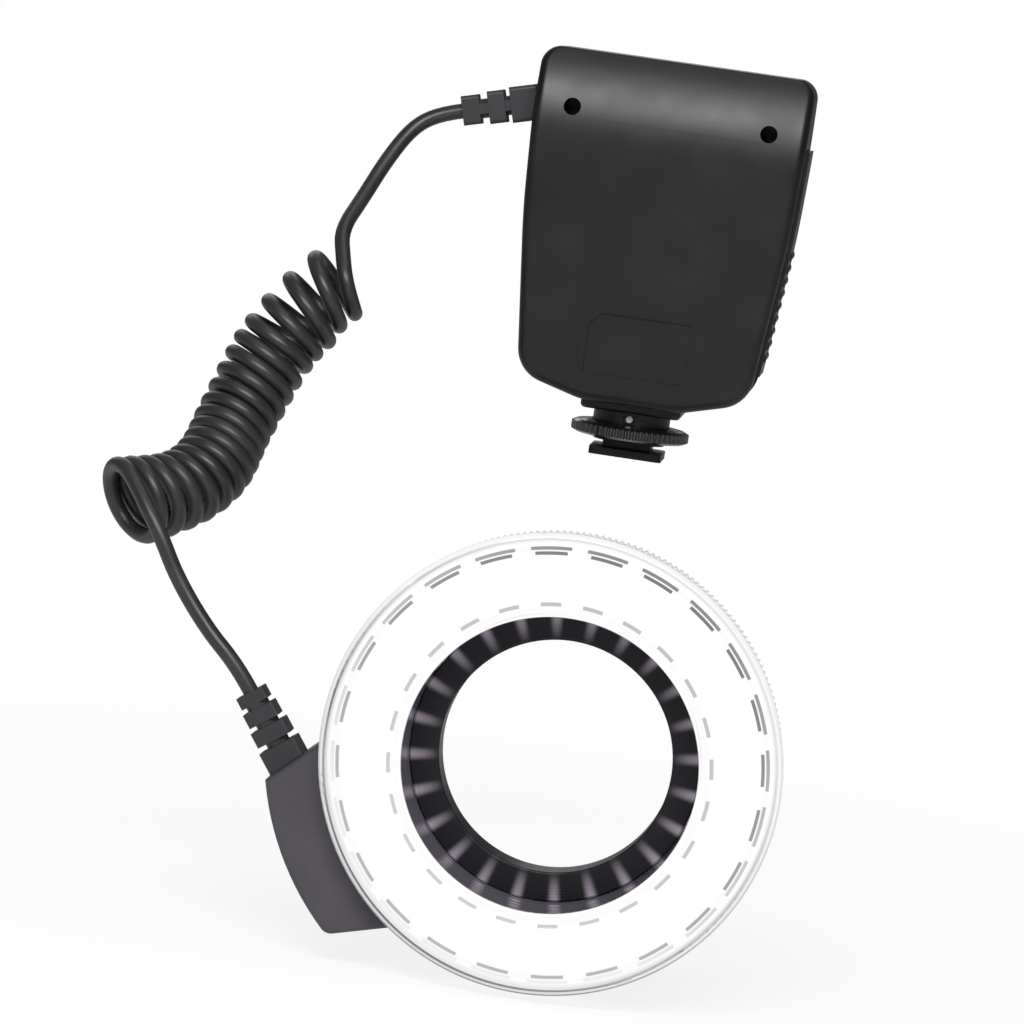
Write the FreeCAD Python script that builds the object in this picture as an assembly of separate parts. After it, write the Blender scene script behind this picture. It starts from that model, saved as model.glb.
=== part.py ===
import FreeCAD, Part
import math
import os
from FreeCAD import Vector

# Macro ring flash: a control unit that stands on a shoe foot, a ring of lamps in front of it,
# and a curly cord between them. Millimetres.
# The origin is the centre of the foot's underside. +Z is up, -Y is where the lamps point.

# Shared fits
FLAT_GAP = 0.3
RUN_FIT = 0.08
TRIM_GAP = 0.15
PILOT_CLEARANCE = 0.05

# Cells, which set the control unit's size, and the room left round them
CELL_RADIUS = 7.25
CELL_LENGTH = 49.2
CELL_NUB_RADIUS = 2.7
CELL_NUB_LENGTH = 1.3
CELL_COUNT = 4
CELL_SPACE = 0.2
CELL_PITCH = 2 * CELL_RADIUS + CELL_SPACE
CELL_CLEARANCE = 0.35
CELL_Y = -8.2
ROOM_LEFT = 9.8
ROOM_RIGHT = 9.7
ROOM_BELOW = 15.1
ROOM_ABOVE = 21.35
ROOM_FRONT = 2.55

# Layers behind the cells
TRAY_WALL = 0.9
TRAY_BACK_Y = CELL_Y + CELL_RADIUS + CELL_CLEARANCE + 1.4
TRAY_FRONT_Y = CELL_Y - CELL_RADIUS - TRIM_GAP
TRAY_CRADLE_Y = CELL_Y + 4.6
BOARD_THICKNESS = 1.6
MAIN_BOARD_Y = TRAY_BACK_Y + 1.4
BUTTON_BOARD_Y = MAIN_BOARD_Y + BOARD_THICKNESS + 2.4

# Control unit body
UNIT_WIDTH = ROOM_LEFT + CELL_LENGTH + CELL_NUB_LENGTH + ROOM_RIGHT
UNIT_BOTTOM = 13.9
CELL_LEFT_X = -UNIT_WIDTH / 2 + ROOM_LEFT
CELL_FIRST_Z = UNIT_BOTTOM + ROOM_BELOW
UNIT_TOP = CELL_FIRST_Z + CELL_PITCH * (CELL_COUNT - 1) + CELL_RADIUS + ROOM_ABOVE
UNIT_FRONT = CELL_Y - CELL_RADIUS - ROOM_FRONT
UNIT_BACK = BUTTON_BOARD_Y + 7.8
UNIT_WALL = 2.0
UNIT_SEAM_Y = UNIT_FRONT + 15.0
UNIT_TOP_RADIUS = 5.0
UNIT_FRONT_EDGE = 2.2
UNIT_BACK_EDGE = 2.8
HEEL_HALF_WIDTH = 12.8
HEEL_START_RADIUS = 14.0
HEEL_CORNER_X = UNIT_WIDTH / 2 - 5.4
HEEL_CORNER_Z = UNIT_BOTTOM + 4.6
HEEL_CORNER_RADIUS = 9.0
WAIST_HALF_WIDTH = UNIT_WIDTH / 2 - 1.0
WAIST_Z = UNIT_TOP - 41.7
SHOULDER_Z = UNIT_TOP - 17.7
SIDE_BEND_RADIUS = 240.0
BROW_START_Z = UNIT_TOP - 23.7
BROW_SETBACK = 7.0

# Screw wells in the brow
WELL_SPACING = UNIT_WIDTH - 2 * 9.9
WELL_Z = UNIT_TOP - 14.7
WELL_RADIUS = 2.2
WELL_WALL = 1.3
WELL_FLOOR_Y = UNIT_FRONT + 11.0
WELL_FLOOR = 1.5
SCREW_HEAD_RADIUS = 2.0
SCREW_HEAD_HEIGHT = 1.4
SCREW_RADIUS = 0.9
SCREW_LENGTH = 9.0
BOSS_RADIUS = 3.2

# Recessed panel on the front
PANEL_WIDTH = 26.2
PANEL_BOTTOM = UNIT_BOTTOM + 7.0
PANEL_TOP = PANEL_BOTTOM + 15.6
PANEL_DEPTH = 0.5
PANEL_CHAMFER = 3.2

# Battery door on the +X side
DOOR_FRONT_Y = UNIT_FRONT + 5.3
DOOR_BACK_Y = UNIT_BACK - 6.0
DOOR_BOTTOM = UNIT_BOTTOM + 10.6
DOOR_TOP = SHOULDER_Z
DOOR_THICKNESS = 1.6
DOOR_STAND = 1.0
DOOR_TRAVEL = 3.0
DOOR_SWING_ROOM = 1.0
DOOR_PIN_X = UNIT_WIDTH / 2 - 6.3
DOOR_PIN_Z = DOOR_BOTTOM + 1.7
DOOR_PIN_RADIUS = 0.7
DOOR_BARREL_RADIUS = 1.4
DOOR_PIN_OVERHANG = 1.6
POCKET_WALL = 1.0
POCKET_RISE = 2.6
DOOR_RIB_COUNT = 9
DOOR_RIB_PITCH = 3.3
DOOR_RIB_START = DOOR_BOTTOM + 6.0
DOOR_RIB_RADIUS = 1.6
DOOR_RIB_SINK = 1.15

# Contacts of the cells
CONTACT_THICKNESS = 0.5
CONTACT_HALF_WIDTH = 4.4
DOOR_CONTACT_OVERHANG = 1.2
SPRING_LENGTH = 1.6
SPRING_FOOT_RADIUS = 4.2
SPRING_TIP_RADIUS = 2.4
CARRIER_THICKNESS = 1.0
CARRIER_BACK_Y = TRAY_BACK_Y - 0.2

# Boards and display
POST_RADIUS = 1.6
MAIN_BOARD_HALF_WIDTH = DOOR_PIN_X - DOOR_BARREL_RADIUS - FLAT_GAP - 1.0
MAIN_BOARD_BOTTOM = DOOR_BOTTOM - DOOR_TRAVEL + POCKET_RISE + 0.2
MAIN_BOARD_TOP = UNIT_TOP - 21.7
BUTTON_BOARD_HALF_WIDTH = MAIN_BOARD_HALF_WIDTH - 1.5
BUTTON_BOARD_BOTTOM = MAIN_BOARD_BOTTOM + 2 * POST_RADIUS + FLAT_GAP
BUTTON_BOARD_TOP = 58.0
BOARD_PART_HEIGHT = 1.6
WINDOW_THICKNESS = 1.6
WINDOW_LIP = 1.2
WINDOW_WIDTH = WELL_SPACING - 2 * (BOSS_RADIUS + WINDOW_LIP + 0.7)
WINDOW_HEIGHT = 23.0
WINDOW_Z = UNIT_TOP - 26.7
MODULE_DEPTH = 4.6

# Larger parts on the main board: left, right, low and high, heights above the board's lower edge
BOARD_PARTS = [(-6.0, 6.0, 37.7, 49.7), (10.0, 18.0, 9.7, 17.7), (-14.0, -4.0, 0.7, 5.7)]

# Buttons on the back
BUTTON_WIDTH = 9.0
BUTTON_HEIGHT = 5.6
BUTTON_Z = 50.0
BUTTON_SPACING = 12.6
BUTTON_STAND = 1.0
BUTTON_TRAVEL = 0.6
BUTTON_FLANGE = 0.9
BUTTON_GAP = 0.2
TEST_BUTTON_RADIUS = 4.0
TEST_BUTTON_X = -17.0
LOWER_ROW_Z = 35.0
SLIDER_SLOT_WIDTH = 13.0
SLIDER_SLOT_HEIGHT = 5.0
SLIDER_X = 13.0
SLIDER_KNOB_WIDTH = 7.0
SLIDER_TRAVEL = 5.0

# Foot and lock wheel
FOOT_WIDTH = 18.6
FOOT_LENGTH = 18.0
FOOT_THICKNESS = 2.0
NECK_WIDTH = 12.3
NECK_TOP = 3.7
BARREL_RADIUS = 7.5
COLLAR_RADIUS = 9.9
COLLAR_BOTTOM = 8.4
HEEL_BOTTOM = 11.6
HEEL_WIDTH = 2 * HEEL_HALF_WIDTH + 0.2
HEEL_LENGTH = 24.0
HEEL_EDGE = 1.1
CORE_RADIUS = 4.6
FOOT_FLOOR = 1.0
NOTCH_WIDTH = 3.2
NOTCH_DEPTH = 1.2
PEG_RADIUS = 0.85
PEG_STAND = 0.8
PEG_LENGTH = 3.0
WASHER_THICKNESS = 0.6
WASHER_RADIUS = BARREL_RADIUS + 1.6
WHEEL_RADIUS = 15.2
WHEEL_THICKNESS = 4.0
WHEEL_RIM = 2.0
WHEEL_BAND = 3.3
WHEEL_BAND_RADIUS = WHEEL_RADIUS - 1.3
WHEEL_HUB_RADIUS = WHEEL_RADIUS - 3.6
WHEEL_RIB_COUNT = 62
WHEEL_RIB_DEPTH = 0.45
WHEEL_GROOVE_RADIUS = 0.55
WHEEL_LIFT = 1.5
FOOT_SCREW_X = HEEL_HALF_WIDTH - 4.1
FOOT_SCREW_Y = 8.5
FOOT_SCREW_RADIUS = 1.1
FOOT_SCREW_HEAD = 2.1

# Contact pins under the foot
PIN_RADIUS = 0.7
PIN_STAND = 0.6
PIN_FLANGE_RADIUS = 1.1
PIN_FLANGE_TOP = 1.9
PIN_TOP = 3.2
PIN_OFFSET = 2.35
CARRIER_Z = 5.4
CONTACT_CARRIER_HEIGHT = 1.8

# Strain reliefs: (start, length, half height) of each block along its own axis
UNIT_RELIEF_BLOCKS = [(0.0, 6.8, 4.6), (8.3, 4.3, 4.2), (14.9, 4.5, 3.8)]
UNIT_RELIEF_Z = UNIT_TOP - 15.1
UNIT_RELIEF_DROOP = 15.0
UNIT_RELIEF_CORE = 2.5
UNIT_RELIEF_FLANGE = 4.2
RING_RELIEF_BLOCKS = [(-2.0, 7.2, 4.9), (6.6, 3.8, 4.5), (11.6, 3.6, 4.1), (16.4, 3.0, 3.7)]
RING_RELIEF_CORE = 2.9
RING_RELIEF_TURN = 6.0
RELIEF_EDGE = 1.0
RELIEF_BACK_HALF = 0.86
RELIEF_WEB = 0.35

# Cord
CORD_RADIUS = 1.95
COIL_START_TURN = -0.1
COIL_END_TURN = 15.92
CORD_STUB = 4.0
UPPER_FIRST_RUN = 6.4
UPPER_LAST_RUN = 7.0
LOWER_FIRST_RUN = 5.0
LOWER_LAST_RUN = 7.0

# Ring head, about an axis along Y
RING_Z = -65.0
RING_FRONT = -121.0
RING_BORE = 35.2
COVER_THICKNESS = 1.6
COVER_LIP_STAND = 1.3
COVER_LIP_DEPTH = 3.6
COVER_SKIRT = 1.4
COVER_DEPTH = 9.5
COVER_EDGE = 1.6
COVER_INNER_SKIRT = 1.0
HOUSING_WALL = 1.7
HOUSING_INNER_WALL = 1.2
HOUSING_FLOOR = 1.6
HOUSING_LEDGE = 2.1
HOUSING_BACK = RING_FRONT + 19.1
HOUSING_INNER_FRONT = RING_FRONT + COVER_THICKNESS + FLAT_GAP
SPIGOT_WALL = 1.36
SHOULDER_Y = RING_FRONT + COVER_DEPTH + FLAT_GAP
REAR_THICKNESS = 2.6

# Lamps in two rows, and the trough they stand in
LED_BOARD_THICKNESS = 1.6
LED_RADIUS = 2.5
LED_HEIGHT = 8.6
LED_FLANGE = 0.3
LED_ROW_GAP = 0.5
LED_ROW_SPACING = 4.64
LEDS_PER_ROW = 24
REFLECTOR_LIP = 0.9
REFLECTOR_FLOOR = 1.0
REFLECTOR_FLOOR_Y = HOUSING_BACK - 8.1
REFLECTOR_LIP_FRONT = RING_FRONT + 3.2
REFLECTOR_HOLE_GAP = 0.3
REFLECTOR_POST_RADIUS = 0.6
TROUGH_INNER = RING_BORE + COVER_INNER_SKIRT + HOUSING_INNER_WALL + 2 * FLAT_GAP
LED_INNER_ROW = TROUGH_INNER + REFLECTOR_LIP + LED_ROW_GAP + LED_RADIUS
LED_OUTER_ROW = LED_INNER_ROW + LED_ROW_SPACING
TROUGH_OUTER = LED_OUTER_ROW + LED_RADIUS + LED_ROW_GAP + REFLECTOR_LIP

# Outside of the ring head, round the trough, and its serrated rim
SPIGOT_RADIUS = TROUGH_OUTER + FLAT_GAP + SPIGOT_WALL
RING_RADIUS = SPIGOT_RADIUS + FLAT_GAP + COVER_SKIRT
RIM_FLANGE = 1.0
RIM_SEAT = 1.0
RIM_SEAT_RADIUS = RING_RADIUS - RIM_SEAT
RIM_STAND = 0.7
RIM_TOOTH = 0.7
RIM_TOOTH_COUNT = 216
RIM_DEPTH = 5.0
BACK_RADIUS = RIM_SEAT_RADIUS - 0.8

# Cord block on the ring's side, seen from the front: where its top and its foot line start, as
# (radius past the ring's, degrees about the ring's axis), and which way each line runs, in degrees
BLOCK_FRONT = RING_FRONT + 7.5
BLOCK_OUTER_RADIUS = RING_RADIUS + 15.2
BLOCK_WALL = 2.0
BLOCK_TOP_START = (-3.2, 179.7)
BLOCK_TOP_LINE = 222.3
BLOCK_FOOT_START = (-2.2, 238.5)
BLOCK_FOOT_LINE = 195.1
BLOCK_CORNER = 3.0
BLOCK_EDGE = 1.2
RELIEF_EXIT_Y = HOUSING_BACK - 5.1
RELIEF_MARGIN = 1.2
WIRE_WAY_LOW = 22.0
WIRE_WAY_HEIGHT = 5.0
WIRE_WAY_FRONT = 4.0
WIRE_WAY_BACK = 1.0

# Adapter ring and its latches
ADAPTER_BORE = 28.0
THREAD_RADIUS = 29.0
THREAD_LENGTH = 3.5
ADAPTER_FRONT = HOUSING_BACK - 2.3
ADAPTER_GROOVE = 1.0
ADAPTER_BACK = HOUSING_BACK + 3.2
LATCH_ENGAGE = 0.7
LATCH_TRAVEL = 1.2
LATCH_WIDTH = 12.0
LATCH_LENGTH = 9.4
LATCH_THICKNESS = 1.3
LATCH_TAB_WIDTH = 8.0
LATCH_TAB_LENGTH = 3.0
LATCH_TAB_STAND = 1.6
LATCH_SPRING_RADIUS = 0.6
REAR_SCREW_RADIUS = 1.0
REAR_SCREW_HEAD = 1.8
REAR_SCREW_CIRCLE = 44.5
REAR_SCREW_ANGLES = [45.0, 135.0, 255.0, 315.0]
REAR_SCREW_LENGTH = 3.0

# Coil: turn number, x, y, z of its middle, lean and tilt of the loop there in degrees, its radius
COIL_KEYS = [
    (0.0, -74.1, -26.0, 35.6, 63.3, 2.0, 7.9),
    (1.0, -79.1, -31.0, 32.4, 52.3, 9.4, 8.8),
    (2.0, -82.3, -34.5, 27.1, 40.2, 10.4, 8.9),
    (3.0, -85.5, -38.0, 22.5, 31.2, 9.8, 8.8),
    (4.0, -87.6, -41.8, 18.5, 23.6, 8.8, 8.7),
    (5.0, -89.7, -45.5, 13.5, 24.7, 12.9, 8.6),
    (8.0, -93.8, -57.0, -1.0, 20.1, 31.6, 8.1),
    (11.0, -96.2, -69.0, -11.5, 22.8, 35.5, 8.2),
    (13.0, -101.4, -77.5, -17.1, 35.5, 39.3, 8.5),
    (16.0, -113.5, -91.0, -21.6, 66.4, 35.3, 9.5),
]

# Corner points of the two free leads, between the strain reliefs and the coil
UPPER_LEAD = [(-66.0, -4.6, 75.6), (-71.0, -9.7, 66.3), (-74.8, -15.8, 56.4)]
LOWER_LEAD = [(-101.5, -103.4, -26.7), (-96.2, -103.6, -36.3), (-87.1, -105.3, -47.2)]

NODES = {}


# Plain solids

def box(x0, x1, y0, y1, z0, z1):
    """A block between two corners."""
    return Part.makeBox(x1 - x0, y1 - y0, z1 - z0, Vector(x0, y0, z0))


def rod_x(radius, x0, x1, y, z):
    """A round bar along X."""
    return Part.makeCylinder(radius, x1 - x0, Vector(x0, y, z), Vector(1, 0, 0))


def rod_y(radius, y0, y1, x, z):
    """A round bar along Y."""
    return Part.makeCylinder(radius, y1 - y0, Vector(x, y0, z), Vector(0, 1, 0))


def rod_z(radius, z0, z1, x=0.0, y=0.0):
    """A round bar along Z."""
    return Part.makeCylinder(radius, z1 - z0, Vector(x, y, z0), Vector(0, 0, 1))


def washer_y(outer, inner, y0, y1):
    """A flat ring about the ring head's axis."""
    return rod_y(outer, y0, y1, 0.0, RING_Z).cut(rod_y(inner, y0 - 1, y1 + 1, 0.0, RING_Z))


def rounded_face(corners, place):
    """A flat face through corners (u, v, radius); place turns u, v into a point."""
    edges = []
    count = len(corners)
    starts, ends, middles = [], [], []
    for i, (u, v, radius) in enumerate(corners):
        here = Vector(u, v, 0)
        before = Vector(corners[i - 1][0], corners[i - 1][1], 0)
        after = Vector(corners[(i + 1) % count][0], corners[(i + 1) % count][1], 0)
        to_before = (before - here).normalize()
        to_after = (after - here).normalize()
        if radius <= 0:
            starts.append(here)
            ends.append(here)
            middles.append(None)
            continue
        half = to_before.getAngle(to_after) / 2
        reach = radius / math.tan(half)
        starts.append(here + to_before * reach)
        ends.append(here + to_after * reach)
        bisector = (to_before + to_after).normalize()
        middles.append(here + bisector * (radius / math.sin(half) - radius))
    points = [[place(p.x, p.y) if p else None for p in row] for row in (starts, middles, ends)]
    for i in range(count):
        if points[1][i]:
            edges.append(Part.Arc(points[0][i], points[1][i], points[2][i]).toShape())
        edges.append(Part.LineSegment(points[2][i], points[0][(i + 1) % count]).toShape())
    return Part.Face(Part.Wire(edges))


def rounded_plate_y(x0, x1, z0, z1, radius, y0, y1):
    """A plate with rounded corners, seen along Y."""
    corners = [(x0, z0, radius), (x1, z0, radius), (x1, z1, radius), (x0, z1, radius)]
    face = rounded_face(corners, lambda u, v: Vector(u, y0, v))
    return face.extrude(Vector(0, y1 - y0, 0))


def turned(corners):
    """A solid turned about the ring head's axis from (radius, y, corner radius)."""
    face = rounded_face(corners, lambda u, v: Vector(u, v, RING_Z))
    return face.revolve(Vector(0, 0, RING_Z), Vector(0, 1, 0), 360)


def on_ring(radius, degrees, y):
    """A point at a radius and angle about the ring head's axis, as seen from the front."""
    angle = math.radians(degrees)
    return Vector(radius * math.cos(angle), y, RING_Z + radius * math.sin(angle))


def fused(shapes):
    """One solid from touching shapes."""
    return shapes[0].multiFuse(shapes[1:]).removeSplitter()


def keep(name, *solids):
    """Store the solids of one node."""
    NODES[name] = solids[0] if len(solids) == 1 else Part.makeCompound(list(solids))


# Control unit

def unit_corners():
    """The unit's outline from the front, right half from the heel up, then the left half."""
    half = UNIT_WIDTH / 2
    right = [
        (HEEL_HALF_WIDTH, UNIT_BOTTOM, HEEL_START_RADIUS),
        (HEEL_CORNER_X, HEEL_CORNER_Z, HEEL_CORNER_RADIUS),
        (WAIST_HALF_WIDTH, WAIST_Z, SIDE_BEND_RADIUS),
        (half, SHOULDER_Z, SIDE_BEND_RADIUS),
        (half, UNIT_TOP, UNIT_TOP_RADIUS),
    ]
    left = [(-x, z, radius) for x, z, radius in reversed(right)]
    return right + left


def side_x(z):
    """Half the unit's width at a height above its lower corner."""
    if z > WAIST_Z:
        share = min(1.0, (z - WAIST_Z) / (SHOULDER_Z - WAIST_Z))
        return WAIST_HALF_WIDTH + share * (UNIT_WIDTH / 2 - WAIST_HALF_WIDTH)
    share = (z - HEEL_CORNER_Z) / (WAIST_Z - HEEL_CORNER_Z)
    return HEEL_CORNER_X + share * (WAIST_HALF_WIDTH - HEEL_CORNER_X)


def unit_prism(inset):
    """The outline, drawn in by inset, as a prism as deep as the unit."""
    face = rounded_face(unit_corners(), lambda u, v: Vector(u, UNIT_FRONT, v))
    wire = face.OuterWire.makeOffset2D(-inset) if inset else face.OuterWire
    return Part.Face(wire).extrude(Vector(0, UNIT_BACK - UNIT_FRONT, 0))


def unit_profile(inset):
    """The side view, drawn in by inset: flat front, brow leaning back, flat back."""
    front = UNIT_FRONT + inset
    top = UNIT_TOP + 1.0
    rise = UNIT_TOP - BROW_START_Z
    radius = (rise ** 2 + BROW_SETBACK ** 2) / (2 * BROW_SETBACK) - inset
    centre_y = front + radius
    turn = math.asin(min(1.0, (top - BROW_START_Z) / radius))
    middle = Vector(0, centre_y - radius * math.cos(turn / 2), BROW_START_Z + radius * math.sin(turn / 2))
    end = Vector(0, centre_y - radius * math.cos(turn), top)
    start = Vector(0, front, BROW_START_Z)
    low = UNIT_BOTTOM - 1.0
    edges = [
        Part.LineSegment(Vector(0, front, low), start).toShape(),
        Part.Arc(start, middle, end).toShape(),
        Part.LineSegment(end, Vector(0, UNIT_BACK - inset, top)).toShape(),
        Part.LineSegment(Vector(0, UNIT_BACK - inset, top), Vector(0, UNIT_BACK - inset, low)).toShape(),
        Part.LineSegment(Vector(0, UNIT_BACK - inset, low), Vector(0, front, low)).toShape(),
    ]
    face = Part.Face(Part.Wire(edges))
    face.translate(Vector(-UNIT_WIDTH, 0, 0))
    return face.extrude(Vector(2 * UNIT_WIDTH, 0, 0))


def edge_span(edge):
    """The lowest and highest Y of an edge and its longest reach along X."""
    bounds = edge.BoundBox
    return bounds.YMin, bounds.YMax, bounds.XLength, bounds.ZLength


def unit_solid():
    """The unit's outer form with its front and back edges rounded."""
    solid = unit_prism(0).common(unit_profile(0))
    back = [e for e in solid.Edges if edge_span(e)[0] > UNIT_BACK - 0.01]
    solid = solid.makeFillet(UNIT_BACK_EDGE, back)
    front = []
    for edge in solid.Edges:
        low, high, across, rise = edge_span(edge)
        brow_line = across > UNIT_WIDTH * 0.9 and rise < 0.01 and abs(edge.BoundBox.ZMin - BROW_START_Z) < 0.1
        if high < UNIT_FRONT + BROW_SETBACK + 0.2 and not brow_line:
            front.append(edge)
    return solid.makeFillet(UNIT_FRONT_EDGE, front)


def unit_shell():
    """The unit's outer form, hollowed to its wall."""
    cavity = unit_prism(UNIT_WALL).common(unit_profile(UNIT_WALL))
    return unit_solid().cut(cavity)


def seam_half(front, gap=0.0):
    """A block that covers the unit in front of or behind the parting seam."""
    reach = UNIT_WIDTH
    if front:
        return box(-reach, reach, UNIT_FRONT - 5, UNIT_SEAM_Y - gap, 0, UNIT_TOP + 5)
    return box(-reach, reach, UNIT_SEAM_Y + gap, UNIT_BACK + 5, 0, UNIT_TOP + 5)


def door_room_low():
    """Z down to which the door slides and swings."""
    return DOOR_BOTTOM - DOOR_TRAVEL - DOOR_SWING_ROOM - FLAT_GAP


def door_opening():
    """The space that the battery door fills and slides in."""
    low = door_room_low()
    return box(
        DOOR_PIN_X - DOOR_BARREL_RADIUS - FLAT_GAP, UNIT_WIDTH,
        DOOR_FRONT_Y - TRIM_GAP, DOOR_BACK_Y + TRIM_GAP, low, DOOR_TOP + FLAT_GAP,
    )


def pin_slot():
    """The slot that both ends of the door's pin slide in."""
    half = DOOR_PIN_RADIUS + RUN_FIT
    return box(
        DOOR_PIN_X - half, DOOR_PIN_X + half,
        DOOR_FRONT_Y - DOOR_PIN_OVERHANG - RUN_FIT, DOOR_BACK_Y + DOOR_PIN_OVERHANG + RUN_FIT,
        DOOR_PIN_Z - DOOR_TRAVEL - half, DOOR_PIN_Z + half,
    )


def pin_ear(y0, y1):
    """A block beside the door opening that holds one end of the pin's slot."""
    ear = box(
        DOOR_PIN_X - 2.6, UNIT_WIDTH, y0, y1,
        DOOR_PIN_Z - DOOR_TRAVEL - 2.4, DOOR_PIN_Z + 2.4,
    )
    return ear.common(unit_prism(UNIT_WALL / 2))


def door_pocket():
    """The wall behind the gap that the door slides down into."""
    low = door_room_low()
    x0 = cell_right_x() + FLAT_GAP
    wall = box(x0, x0 + POCKET_WALL, DOOR_FRONT_Y - 1.5, DOOR_BACK_Y + 1.5, low - 3.0,
               low + DOOR_SWING_ROOM + POCKET_RISE)
    sill = box(x0, UNIT_WIDTH, DOOR_FRONT_Y - 1.5, DOOR_BACK_Y + 1.5, low - POCKET_WALL, low)
    return fused([wall, sill]).common(unit_prism(UNIT_WALL / 2))


def foot_screw_spots():
    """Where the four foot screws stand."""
    return [(x, y) for x in (-FOOT_SCREW_X, FOOT_SCREW_X) for y in (-FOOT_SCREW_Y, FOOT_SCREW_Y)]


def floor_cuts():
    """Openings in the unit's floor for the foot screws and the wires to the contacts."""
    cuts = [rod_z(FOOT_SCREW_RADIUS + TRIM_GAP, 0, UNIT_BOTTOM + 5, x, y) for x, y in foot_screw_spots()]
    cuts.append(rod_z(CORE_RADIUS, 0, UNIT_BOTTOM + 5))
    return cuts


def unit_relief_axis():
    """Where the unit's strain relief starts and which way it points."""
    droop = math.radians(UNIT_RELIEF_DROOP)
    return Vector(-UNIT_WIDTH / 2, UNIT_SEAM_Y, UNIT_RELIEF_Z), Vector(-math.cos(droop), 0, -math.sin(droop))


def relief_mouth():
    """The hole in the unit's side that holds the strain relief's neck."""
    radius = UNIT_RELIEF_CORE + 0.5
    return rod_x(radius, -UNIT_WIDTH, -UNIT_WIDTH / 2 + UNIT_WALL + 2, UNIT_SEAM_Y, UNIT_RELIEF_Z)


def front_shell(shell):
    """The front half with its wells, recessed panel and door edge."""
    body = shell.common(seam_half(True))
    spots = (-WELL_SPACING / 2, WELL_SPACING / 2)
    inner = unit_prism(UNIT_WALL / 2).common(unit_profile(UNIT_WALL / 2))
    sleeves = []
    for x in spots:
        sleeve = rod_y(WELL_RADIUS + WELL_WALL, UNIT_FRONT, WELL_FLOOR_Y + WELL_FLOOR, x, WELL_Z)
        sleeves.append(sleeve.common(inner))
    ear = pin_ear(UNIT_FRONT + UNIT_WALL / 2, DOOR_FRONT_Y - TRIM_GAP)
    body = fused([body] + sleeves + [ear]).cut([door_opening(), pin_slot()])
    body = fused([body, door_pocket().common(seam_half(True))])
    cuts = [relief_mouth()] + floor_cuts()
    for x in spots:
        cuts.append(rod_y(WELL_RADIUS, UNIT_FRONT - 1, WELL_FLOOR_Y, x, WELL_Z))
        cuts.append(rod_y(SCREW_RADIUS + TRIM_GAP, WELL_FLOOR_Y - 1, WELL_FLOOR_Y + WELL_FLOOR + 1, x, WELL_Z))
    cuts.append(recessed_panel())
    return body.cut(cuts)


def recessed_panel():
    """The shallow panel, with one cut corner."""
    half = PANEL_WIDTH / 2
    corners = [
        (-half, PANEL_BOTTOM, 0), (half, PANEL_BOTTOM, 0), (half, PANEL_TOP, 0),
        (-half + PANEL_CHAMFER, PANEL_TOP, 0), (-half, PANEL_TOP - PANEL_CHAMFER, 0),
    ]
    face = rounded_face(corners, lambda u, v: Vector(u, UNIT_FRONT - 1, v))
    return face.extrude(Vector(0, 1 + PANEL_DEPTH, 0))


def board_posts(spots, y0):
    """Posts from the unit's back wall to a board."""
    return [rod_y(POST_RADIUS, y0 + FLAT_GAP, UNIT_BACK - UNIT_WALL / 2, x, z) for x, z in spots]


def board_corners(half_width, low, high, margin):
    """The four corners of a board, drawn in by a margin."""
    return [(x, z) for x in (margin - half_width, half_width - margin) for z in (low + margin, high - margin)]


def button_outline(x, grow, y0, y1):
    """An oblong button or its hole."""
    half_w = BUTTON_WIDTH / 2 + grow
    half_h = BUTTON_HEIGHT / 2 + grow
    return rounded_plate_y(x - half_w, x + half_w, BUTTON_Z - half_h, BUTTON_Z + half_h, half_h - 0.3, y0, y1)


def button_places():
    """X of the four oblong buttons, from the user's left to right."""
    return {
        "mode_button": 1.5 * BUTTON_SPACING,
        "minus_button": 0.5 * BUTTON_SPACING,
        "plus_button": -0.5 * BUTTON_SPACING,
        "lamp_button": -1.5 * BUTTON_SPACING,
    }


def slider_block(width, height, y0, y1, x=SLIDER_X):
    """A plate about the power slider's slot."""
    return rounded_plate_y(x - width / 2, x + width / 2, LOWER_ROW_Z - height / 2, LOWER_ROW_Z + height / 2,
                           0.8, y0, y1)


def window_plate(grow, y0, y1):
    """A plate about the display window's centre."""
    half_w = WINDOW_WIDTH / 2 + grow
    half_h = WINDOW_HEIGHT / 2 + grow
    return rounded_plate_y(-half_w, half_w, WINDOW_Z - half_h, WINDOW_Z + half_h, 1.5, y0, y1)


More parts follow.
